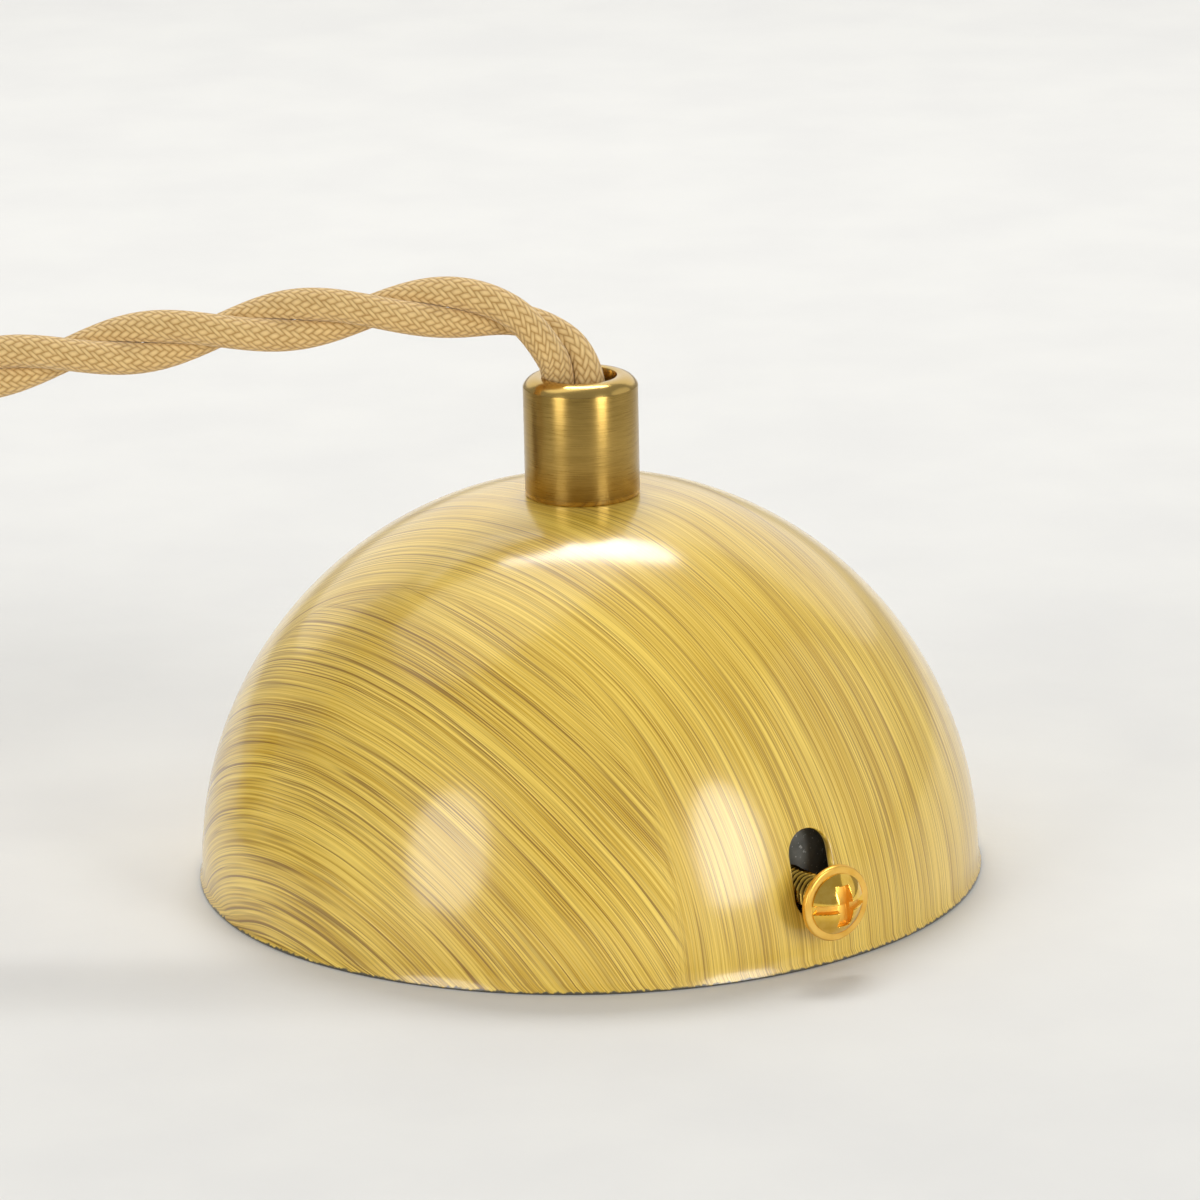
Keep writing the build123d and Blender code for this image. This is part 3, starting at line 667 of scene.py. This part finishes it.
def grip(prefix, place, wall, cap_node, nipple_node, nut_node, washer_node):
    """The pieces of one cord grip, above and below a wall that the nipple goes through."""
    round_by, crease = 1.9, math.radians(23)
    crown = cap_radius - round_by * math.cos(crease)
    edge = cap_height - round_by * (1 - math.sin(crease))
    centre_z = edge - round_by * math.sin(crease)
    bend = [crease + i * (math.pi / 2 - crease) / 8 for i in range(9)]
    roll = [(crown + round_by * math.cos(a), centre_z + round_by * math.sin(a)) for a in bend]
    lips = [(cap_mouth + 0.22, cap_height), (cap_mouth + 0.07, cap_height - 0.06)]
    lips += [(cap_mouth, cap_height - 0.23), (cap_mouth, collet_seat)]
    lips += [(cap_bore, collet_seat - collet_cone), (cap_bore, 0.0)]
    foot = [(cap_radius - 0.22, 0.0), (cap_radius - 0.07, 0.06), (cap_radius, 0.22)]
    foot += [(cap_radius, edge - 0.12), (cap_radius - 0.03, edge - 0.02)]
    cap = turned(prefix + "grip_shell", foot + roll + lips, satin_brass, place, 128)
    tube = [(nipple_bore, nipple_high - 0.2), (nipple_bore + 0.2, nipple_high), (4.6, nipple_high)]
    tube += threaded(4.95, nipple_low + 0.3, nipple_high - 0.2, 1.0, 0.35)[::-1]
    tube += [(4.6, nipple_low), (nipple_bore + 0.2, nipple_low), (nipple_bore, nipple_low + 0.2)]
    nipple = turned(prefix + "nipple_tube", tube, zinc_steel, place, 64)
    nut = eased(prefix + "hex_nut", nut_node, 0.3, zinc_steel)
    low, bore, rim = -wall - washer_thick, 5.15, 7.0
    ring = rounded((bore, low, 0.1), (rim, low, 0.2), (rim, -wall, 0.2), (bore, -wall, 0.1))
    washer = turned(prefix + "toothed_washer", ring, zinc_steel, place, 64)
    seat(nut, "canopy", "zinc_steel", nut_node)
    seat(washer, "canopy", "zinc_steel", washer_node)
    seat(cap, "canopy", "satin_brass", cap_node)
    seat(nipple, "canopy", "zinc_steel", nipple_node)
    return cap, nipple, nut, washer


grip("", on_canopy, wall, "cord_grip_cap", "threaded_nipple", "nipple_nut", "lock_washer")
nylon = moulded("nylon", shade(214, 208, 190), shade(196, 188, 168), 0.5)
for collet in ("cord_collet", "holder_collet"):
    frame["nodes"][collet].data.materials[0] = nylon


# Leads. The cord's two insulated cores hang from the nipple and bow over to the terminal block, where
# their ends are crimped in ferrules.
def between(start, end, share):
    """The value that lies a share of the way from start to end."""
    return start + share * (end - start)


block_half, bow = 8.5, 11.0
lead_top, pole_z, block_face = land_z + nipple_low, strap_top + wire_rise, block_middle + block_half
bow_x, lead_radius, core_gap = block_face + bow, 1.1, 1.5


def smooth_line(name, route, steps):
    """A curve led smoothly by the route's points."""
    curve = bpy.data.curves.new(name, "CURVE")
    curve.dimensions = "3D"
    curve.resolution_u = steps
    line = curve.splines.new("NURBS")
    line.points.add(len(route) - 1)
    for point, place in zip(line.points, route):
        point.co = (*(Vector(place) * MM), 1)
    line.order_u = 3
    line.use_endpoint_u = True
    return curve


def sleeve(name, route, radius, material):
    """A round tube along a smooth line led by the route's points."""
    curve = smooth_line(name, route, 10)
    curve.bevel_depth = radius * MM
    curve.bevel_resolution = 5
    curve.use_fill_caps = True
    mesh = settled(bpy.data.objects.new(name + "_seed", curve))
    mesh.materials.clear()
    return show(name, mesh, material)


brown = moulded("brown_insulation", shade(96, 58, 36), shade(78, 46, 28), 0.4)
blue = moulded("blue_insulation", shade(52, 92, 168), shade(40, 74, 142), 0.4)
leads = (("live", 1, brown, "brown_insulation"), ("neutral", -1, blue, "blue_insulation"))
for lead, hand, insulation, slot in leads:
    side, core = hand * pole, hand * core_gap
    route = [
        (0, core, lead_top + 1.0),
        (0, core, between(lead_top, pole_z, 0.14)),
        (bow_x / 2, between(core, side, 0.3), between(lead_top, pole_z, 0.32)),
        (bow_x, between(core, side, 0.7), between(lead_top, pole_z, 0.58)),
        (bow_x, side, between(lead_top, pole_z, 0.85)),
        (block_face + 6.5, side, pole_z),
        (block_face, side, pole_z),
    ]
    route = [to_bearing @ Vector(place) for place in route]
    wire = sleeve(f"core_{lead}", route, lead_radius, insulation)
    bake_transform(wire)
    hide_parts(f"lead_{lead}")
frame["nodes"]["lead_ferrules"].data.materials[0] = contact_brass

# Cord. Two insulated cores, each in its own braided beige textile sleeve, twisted together. It leaves
# the grip upwards, bends over to the left and runs down to the table, where the rest lies in a tied coil.
exit_z, rest_z, upper_z = land_z + collet_seat, 4.07, 11.57
coil_x, coil_radius, coil_step, coil_straight = -225.0, 47.0, 7.5, 7.0
mouth_x, holder_y, holder_z, holder_length = -100.0, 28.0, 21.5, 56.0
grip_end_x = mouth_x - holder_length - collet_seat
route = [
    (0, 0, lead_top),
    (0, 0, exit_z - 5.0),
    (-0.7, 0, exit_z + 4.4),
    (-4.0, 0, exit_z + 8.2),
    (-8.2, 0, exit_z + 10.8),
    (-15.5, 0, exit_z + 11.6),
    (-28.0, 0, exit_z + 10.9),
    (-47.0, -0.5, exit_z + 8.5),
    (-70.0, -2.0, exit_z + 5.6),
    (-100.0, -6.0, exit_z - 2.2),
    (-130.0, -13.5, 41.5),
    (-155.0, -24.5, 27.0),
    (-176.0, -36.0, 13.4),
    (-193.0, -43.5, 6.0),
    (-207.0, -coil_radius, rest_z),
    (coil_x + coil_straight, -coil_radius, rest_z),
]
half_step, half_points = coil_step / 2, 6
winding = [coil_radius - half_step * i for i in range(5)]
winding += [winding[-1] + coil_step + half_step * i for i in range(3)]
crossings = [radius if i % 2 else -radius for i, radius in enumerate(winding)]
bulge = 1 / math.cos(math.pi / half_points / 2)
for i, (from_y, to_y) in enumerate(zip(crossings, crossings[1:])):
    middle_y, half_turn = (from_y + to_y) / 2, abs(to_y - from_y) / 2 * bulge
    hand = -1 if i % 2 == 0 else 1
    for step in range(half_points):
        angle = (step + 0.5) * math.pi / half_points
        climb = (step + 0.5) / half_points if i == 3 else float(i > 3)
        climb = climb * climb * (3 - 2 * climb)
        swing_x = coil_x + hand * half_turn * math.sin(angle)
        swing_y = middle_y + math.copysign(half_turn, from_y) * math.cos(angle)
        route.append((swing_x, swing_y, between(rest_z, upper_z, climb)))
tail_x = coil_x + coil_straight
for share, aside in ((0, 0), (0.19, 0), (0.41, 0.25), (0.58, 0.76), (0.81, 1), (1, 1)):
    tail_y, tail_z = between(coil_radius, holder_y, aside), between(upper_z, holder_z, aside)
    route.append((between(tail_x, grip_end_x, share), tail_y, tail_z))
route.append((grip_end_x + collet_seat - nipple_low, holder_y, holder_z))

cord_line = bpy.data.objects.new("cord_line", smooth_line("cord_line", route, 14))
centre = np.array([v.co for v in settled(cord_line).vertices])
gone = np.concatenate([[0], np.cumsum(np.linalg.norm(np.diff(centre, axis=0), axis=1))])
cord_length = float(gone[-1])

# The strands' rings stand closer together where the cord is seen from near by. Sizes from here to the end
# of the strands are in metres.
near_end, near_gap, far_gap = 0.11, 0.0004, 0.0012
near_stations, far_stations = np.arange(0, near_end, near_gap), np.arange(near_end, cord_length, far_gap)
stations = np.concatenate([near_stations, far_stations, [cord_length]])
spine = np.stack([np.interp(stations, gone, centre[:, i]) for i in range(3)], axis=1)
ahead = np.gradient(spine, stations, axis=0)
ahead /= np.linalg.norm(ahead, axis=1)[:, None]
normal = np.zeros_like(spine)
normal[0] = (0, 1, 0)
for i in range(1, len(spine)):
    carried = normal[i - 1] - ahead[i] * (normal[i - 1] @ ahead[i])
    normal[i] = carried / np.linalg.norm(carried)
binormal = np.cross(ahead, normal)

lay, lay_phase = 0.0345, 0.715
strand_radius, strand_offset, strand_gap, strand_sides = 0.0019, 0.00155, 0.00004, 40
cord_points, cord_faces, cord_uv = [], [], []
around = np.arange(strand_sides) / strand_sides
for strand in (0.0, 0.5):
    twist = 2 * math.pi * (stations / lay + lay_phase + strand)
    lean = normal * np.cos(twist)[:, None] + binormal * np.sin(twist)[:, None]
    aside = binormal * np.cos(twist)[:, None] - normal * np.sin(twist)[:, None]
    out = np.maximum(strand_offset + strand_radius * np.cos(2 * math.pi * around), strand_gap)
    beside = strand_radius * np.sin(2 * math.pi * around)
    ring = spine[:, None, :] + lean[:, None, :] * out[None, :, None]
    ring = ring + aside[:, None, :] * beside[None, :, None]
    first = len(cord_points)
    cord_points += [tuple(p) for p in ring.reshape(-1, 3)]
    for i in range(len(stations) - 1):
        for j in range(strand_sides):
            k = (j + 1) % strand_sides
            low, high = first + i * strand_sides, first + (i + 1) * strand_sides
            cord_faces.append((low + j, low + k, high + k, high + j))
            near_v, far_v = j / strand_sides, (j + 1) / strand_sides
            near_u, far_u = stations[i], stations[i + 1]
            cord_uv += [(near_u, near_v), (near_u, far_v), (far_u, far_v), (far_u, near_v)]
    for start, step in ((first, -1), (first + (len(stations) - 1) * strand_sides, 1)):
        cap_ring = list(range(start, start + strand_sides))
        cord_faces.append(tuple(cap_ring[::step]))
        cord_uv += [(0.0, 0.0)] * strand_sides
cord_mesh = bpy.data.meshes.new("twisted_cord")
cord_mesh.from_pydata(cord_points, [], cord_faces)
sleeve_map = cord_mesh.uv_layers.new(name="sleeve")
sleeve_map.data.foreach_set("uv", np.array(cord_uv, np.float32).ravel())

braid, x, y, z = finish("braided_cord", specular_ior_level=0.2, sheen_weight=0.25, sheen_roughness=0.5)
weave = x.node("ShaderNodeUVMap", uv_map="sleeve")
run = x.node("ShaderNodeSeparateXYZ", {0: weave})
spin = run.other(1)
# A braid of two sets of yarns that wind opposite ways, each over two and under two of the others.
yarns, yarn_step = 16, 0.00098
one, two = spin * yarns + run / yarn_step, spin * yarns - run / yarn_step
yarn_one, yarn_two = x.maths("FLOOR", one), x.maths("FLOOR", two)
in_one, in_two = one - yarn_one, two - yarn_two
cell = x.maths("FLOORED_MODULO", yarn_one + yarn_two, 4.0)
two_over = x.maths("GREATER_THAN", cell, 1.5)
across = two_over * in_two + (1 - two_over) * in_one
float_run = (cell - two_over * 2 + two_over * in_one + (1 - two_over) * in_two) / 2
round_across = x.maths("SINE", across * math.pi) ** 0.6
round_along = x.maths("SINE", float_run * math.pi) ** 0.4
pick_relief_and_shade = round_across * round_along
fibre = x.noise(across * 9 + yarn_one * 3.1, float_run * 1.5 + yarn_two * 1.7, 0.0, 2.0)
dye = x.noise(yarn_one * 0.37, yarn_two * 0.41, 5.0)
# Each yarn's pick is painted darker towards its edges, as painted shade in the gaps between yarns; the
# same mask shapes the relief and roughness.
cloth = (pick_relief_and_shade * 0.62 + fibre * 0.22 + dye * 0.34).ease(0.12, 1.05)
cloth.tint(shade(166, 124, 62), shade(228, 196, 136)).feed("Base Color")
(0.92 - pick_relief_and_shade * 0.14).feed("Roughness")
(pick_relief_and_shade + fibre * 0.25).relief(0.75, 0.14)
cord = show("twisted_cord", cord_mesh, braid)
cord_nodes = ("cord_entry", "cord_free", "cord_coil", "cord_tail", "holder_cord_entry")
seat(cord, "canopy", "braided_cord", *cord_nodes)
tie_cloth, x, y, z = finish("tie_strap", specular_ior_level=0.25)
ribs = x.maths("SINE", y * 9000) * x.maths("SINE", (x + z) * 7000)
ribs.ease(-1.0, 1.0).tint(shade(20, 20, 21), shade(46, 46, 48)).feed("Base Color")
(0.8 - ribs * 0.08).feed("Roughness")
ribs.relief(0.6, 0.08)
tie = seat(eased("coil_strap", "coil_tie", 0.12, tie_cloth), "canopy", "tie_strap", "coil_tie")


# Side screws. Gold-plated machine screws with a slot and cross recess and a flat washer under the head.
# They go through the canopy's slots into the strap's legs, and the one seen here is half unscrewed.
flat_radius, flat_bore, flat_thick, head_gap = 4.25, 2.1, 0.7, 0.03
unscrewed, slot_tilt = 2.7, math.radians(2)
washer_edge = slot_low - flat_radius - skirt
washer_seat = math.sqrt(dome_radius**2 - washer_edge**2) + unscrewed
flat = rounded(
    (flat_bore, 0, 0.1), (flat_radius, 0, 0.12),
    (flat_radius, flat_thick, 0.2), (flat_bore, flat_thick, 0.1),
)
for side, sign in (("front", 1), ("rear", -1)):
    out = to_bearing @ Vector((sign, 0, 0))
    level = Vector((0, 0, 1)).cross(out)
    slot_way = level * math.cos(slot_tilt) + Vector((0, 0, 1)) * math.sin(slot_tilt)
    axes = Matrix([slot_way, out.cross(slot_way), out]).transposed().to_4x4()
    slot_foot, head_seat = Vector((0, 0, slot_low)), washer_seat + flat_thick + head_gap
    raised = Matrix.Translation((out * head_seat + slot_foot) * MM) @ axes
    screw = screws(
        f"machine_screw_{side}", [(0, 0, 0)], gold_zinc, raised, 224, 72,
        Shank=2.0, Length=12.0, Pitch=0.7, Thread=0.4, Head=3.4, Rise=1.9, Crown=1.75,
        Slot=0.8, SlotDepth=0.7, Arm=1.6, ArmLength=4.4, ArmDepth=1.3,
    )
    seat(screw, f"{side}_screw", "gold_zinc", f"side_screw_{side}")
    under = Matrix.Translation((out * washer_seat + slot_foot) * MM) @ axes
    washer = turned(f"flat_washer_{side}", flat, gold_matt, under, 96)
    seat(washer, f"{side}_washer", "gold_zinc", f"side_washer_{side}")

# Lampholder. A drawn brass cover with its own cord grip closes over a moulded cream shell. The shell
# holds a porcelain disc with the rolled brass lamp thread and its contact, and a ribbed ring on it
# clamps a shade.
holder_axes = Matrix(((0, 0, -1), (0, 1, 0), (1, 0, 0))).to_4x4()
to_holder = Matrix.Translation(Vector((mouth_x, holder_y, holder_z)) * MM) @ holder_axes
cover_wall, cover_foot, cover_radius, cover_hole = 1.0, 40.0, 21.5, 5.15
on_cover = to_holder @ Matrix.Translation((0, 0, holder_length * MM))
cap, nipple, nut, washer = grip(
    "holder_", on_cover, cover_wall,
    "holder_grip_cap", "holder_nipple", "holder_nut", "holder_lock_washer",
)
cover_in, cover_under = cover_radius - cover_wall, holder_length - cover_wall
drawn = rounded(
    (cover_in, cover_foot, 0.3), (cover_radius, cover_foot, 0.3), (cover_radius, holder_length, 8.0),
    (cover_hole, holder_length, 0.2), (cover_hole, cover_under, 0.2), (cover_in, cover_under, 7.0),
)
cover = turned("drawn_cover", drawn, satin_brass, to_holder, 128)
seat(cover, "canopy", "satin_brass", "holder_cover")
cream_resin = moulded("cream_resin", shade(236, 230, 214), shade(228, 220, 202), 0.4)
shell_bore, shell_radius, shell_collar, shell_top = 17.6, 19.4, 20.4, 46.0
ledge_radius, ledge_low, insert_low = 16.4, 28.5, 31.0
coarse_pitch, coarse_depth, coarse_from, coarse_to = 3.0, 0.35, 2, 36
moulding = [(shell_bore, 0.3), (shell_bore + 0.3, 0.0), (shell_radius - 0.3, 0.0)]
for i in range(1, 106):
    height = i / 8 * coarse_pitch
    sunk = coarse_depth * (1 - math.cos(i * math.pi / 4)) / 2 * (coarse_from < height < coarse_to)
    moulding.append((shell_radius - sunk, height))
moulding += [(shell_radius, cover_foot - 0.2), (shell_radius, cover_foot), (shell_collar, cover_foot)]
moulding += [(shell_collar, shell_top), (shell_bore, shell_top), (shell_bore, insert_low)]
moulding += [(ledge_radius, insert_low), (ledge_radius, ledge_low), (shell_bore, ledge_low)]
shell = turned("moulded_shell", moulding, cream_resin, to_holder, 128)
seat(shell, "canopy", "cream_resin", "holder_shell")

ring_tree, size = node_tree(
    "ribbed_ring", Bore="Float", Outside="Float", Height="Float", Ribs="Int", Depth="Float", Sides="Int"
)
start = size["Geometry"]
band_rows = 12
band = start.node(
    "GeometryNodeMeshGrid",
    {"Size X": 1.0, "Size Y": 1.0, "Vertices X": size["Sides"] + 1, "Vertices Y": band_rows + 1},
)
spot = start.node("GeometryNodeInputPosition")
share = start.node("ShaderNodeSeparateXYZ", {0: spot})
step = (share.other(1) + 0.5) * band_rows
angle = share * (2 * math.pi)
outside = step.ease(2.4, 3.4) * step.ease(8.6, 7.6)
edge = step.ease(1.4, 2.6) * step.ease(9.6, 8.4)
rib = abs(start.maths("SINE", angle * size["Ribs"] / 2)) ** 0.6
radius = size["Bore"] + (size["Outside"] - size["Bore"]) * (edge * 0.2 + outside * 0.8)
radius = radius - size["Depth"] * (1 - rib) * outside
height = size["Height"] * step.ease(0.5, 10.5) * step.ease(12.0, 11.0)
bent = start.node(
    "ShaderNodeCombineXYZ",
    {0: radius * start.maths("COSINE", angle), 1: radius * start.maths("SINE", angle), 2: height},
)
band = start.node("GeometryNodeSetPosition", {"Geometry": band, "Position": bent})
close_tree(ring_tree, size, band)
blank = bpy.data.meshes.new("shade_ring_blank")
ring = grown(
    "ribbed_ring", blank, ring_tree, satin_brass, to_holder @ Matrix.Translation((0, 0, 5 * MM)),
    Bore=19.5 * MM, Outside=21.4 * MM, Height=8 * MM, Ribs=24, Depth=0.5 * MM, Sides=288,
)
seat(ring, "shade_ring", "satin_brass", "shade_ring")

porcelain, x, y, z = finish("porcelain", coat_weight=0.6, coat_roughness=0.08, specular_ior_level=0.5)
glaze = x.noise(x * 300, y * 300, z * 300, 3.0)
glaze.ease(0.3, 0.7).tint(shade(226, 221, 209), shade(240, 237, 228)).feed("Base Color")
(0.22 + glaze * 0.12).feed("Roughness")
glaze.relief(0.2, 0.05)
disc = eased("porcelain_disc", "holder_insert", 0.25, porcelain)
seat(disc, "canopy", "porcelain", "holder_insert")
lamp_pitch, lamp_radius, lamp_wave, lamp_sheet, lamp_hole = 3.6, 13.6, 0.6, 0.5, 8.0
lamp_end = insert_low - lamp_sheet
lamp_rows = [lamp_end - i * lamp_pitch / 8 for i in range(49)]
turns_down = [(lamp_end - height) / lamp_pitch * 2 * math.pi for height in lamp_rows]
waved = [(lamp_radius + lamp_wave * math.sin(t + math.pi), h) for t, h in zip(turns_down, lamp_rows)]
lamp_floor = [(lamp_hole, lamp_end), (lamp_hole, insert_low), (lamp_radius, insert_low)]
rolled = lamp_floor + waved + [(radius - lamp_sheet, height) for radius, height in waved[::-1]]
lamp_shell = turned("rolled_lamp_thread", rolled, contact_brass, to_holder, 128)
seat(lamp_shell, "canopy", "contact_brass", "lamp_thread_shell")
frame["nodes"]["centre_contact"].data.materials[0] = contact_brass
insert_top, post_x, post_y = 39.0, 10, 5
posts = [(-post_x, post_y, insert_top), (post_x, post_y, insert_top)]
terminal_screws = screws(
    "lamp_terminal_screws", posts, zinc_steel, to_holder, 40, 14,
    Shank=1.5, Length=5.0, Pitch=0.5, Thread=0.2, Head=2.6, Rise=1.8, **driver,
)
seat(terminal_screws, "canopy", "zinc_steel", "holder_terminal_screws")
cores_top, hole_x, hole_y, hole_depth = 50.5, 5.0, 5.0, 3.9
for lead, hand, insulation, slot in leads:
    route = []
    for up, aside in ((1, 0), (0.73, 0), (0.44, 0.75), (0.14, 1)):
        across = hand * between(core_gap, hole_x, aside)
        route.append((across, hole_y * aside, between(insert_top, cores_top, up)))
    route.append((hand * hole_x, hole_y, insert_top - hole_depth))
    route = [to_holder @ (Vector(place) * MM) / MM for place in route]
    wire = sleeve(f"lamp_core_{lead}", route, lead_radius, insulation)
    seat(wire, "canopy", slot, f"holder_lead_{lead}")

on_cord = [tie, cap, cover, shell, ring, lamp_shell, terminal_screws, nipple, nut, washer]
on_cord += ["porcelain_disc", "lamp_core_live", "lamp_core_neutral", "centre_contact", "holder_collet"]

# Table and studio. A pale matt sheet under soft boxes: a tall one at each front side and one overhead,
# whose reflections stand in the lacquer, a weak one at the right, a wide one low behind like a backdrop
# and a broad one over the left rear, which light the top of the dome.
half_sheet = 4
corners = [(-half_sheet, -half_sheet, 0), (half_sheet, -half_sheet, 0)]
corners += [(half_sheet, half_sheet, 0), (-half_sheet, half_sheet, 0)]
floor_mesh = bpy.data.meshes.new("table_sheet")
floor_mesh.from_pydata(corners, [], [(0, 1, 2, 3)])
sheet, x, y, z = finish("pale_sheet", roughness=0.85, specular_ior_level=0.2)
cloud = x.noise(x * 40, y * 40, z, 5.0)
cloud.ease(0.2, 0.8).tint(shade(216, 215, 212), shade(221, 220, 216)).feed("Base Color")
(x.noise(x * 160, y * 160, z, 5.0) + cloud).relief(0.2, 0.5)
floor = show("table_sheet", floor_mesh, sheet)


def soft_box(name, bearing, rise, away, width, height, power):
    """A soft box that faces the object, at a bearing from the camera's side and a rise, in degrees."""
    box = bpy.data.lights.new(name, "AREA")
    box.shape = "ELLIPSE"
    box.size, box.size_y, box.energy = width, height, power
    lamp = bpy.data.objects.new(name, box)
    bpy.context.scene.collection.objects.link(lamp)
    turn, up = math.radians(bearing), math.radians(rise)
    aim = Vector((math.sin(turn) * math.cos(up), -math.cos(turn) * math.cos(up), math.sin(up)))
    lamp.location = Vector((0, 0, 0.03)) + aim * away
    lamp.rotation_euler = aim.to_track_quat("Z", "Y").to_euler()


soft_box("box_left", -43, 14, 1.4, 0.6, 0.86, 6.5)
soft_box("box_right", 42, 13, 1.4, 0.5, 0.97, 9.6)
soft_box("box_top", 179, 60, 0.9, 0.56, 0.2, 3.7)
soft_box("box_side_right", 95, 22, 1.1, 1.0, 0.9, 0.9)
soft_box("box_back", 180, 27, 2.2, 4.1, 1.8, 13.4)
soft_box("box_over", -135, 64, 1.4, 1.7, 1.1, 5.2)
bpy.context.scene.world = bpy.data.worlds.new("studio")
bpy.context.scene.world.use_nodes = True
studio_glow = bpy.context.scene.world.node_tree.nodes["Background"].inputs
studio_glow["Color"].default_value = (1.0, 0.995, 0.985, 1.0)
studio_glow["Strength"].default_value = 0.34
bpy.context.scene.view_settings.view_transform = "Standard"

# Camera. It was fitted to the canopy's outline in the photograph: a long lens, looking down a little and
# level but for a slight roll.
camera_rise, camera_roll = math.radians(16.293), math.radians(-1.196)
camera_away, lens_pixels, image_pixels = 0.7, 6154.7, 1200
aim_point = Vector((1.710, 0, 31.391)) * MM
camera_data = bpy.data.cameras.new("camera")
camera_data.sensor_width = 36.0
camera_data.lens = 36.0 * lens_pixels / image_pixels
camera_data.clip_start, camera_data.clip_end = 0.01, 50
camera = bpy.data.objects.new("camera", camera_data)
bpy.context.scene.collection.objects.link(camera)
back = Vector((0, -math.cos(camera_rise), math.sin(camera_rise)))
right = Vector((1, 0, 0))
up = back.cross(right)
level_right = right * math.cos(camera_roll) + up * math.sin(camera_roll)
level_up = up * math.cos(camera_roll) - right * math.sin(camera_roll)
camera.matrix_world = Matrix.Translation(aim_point + back * camera_away) @ Matrix(
    [level_right, level_up, back]
).transposed().to_4x4()
bpy.context.scene.camera = camera

bpy.context.view_layer.update()
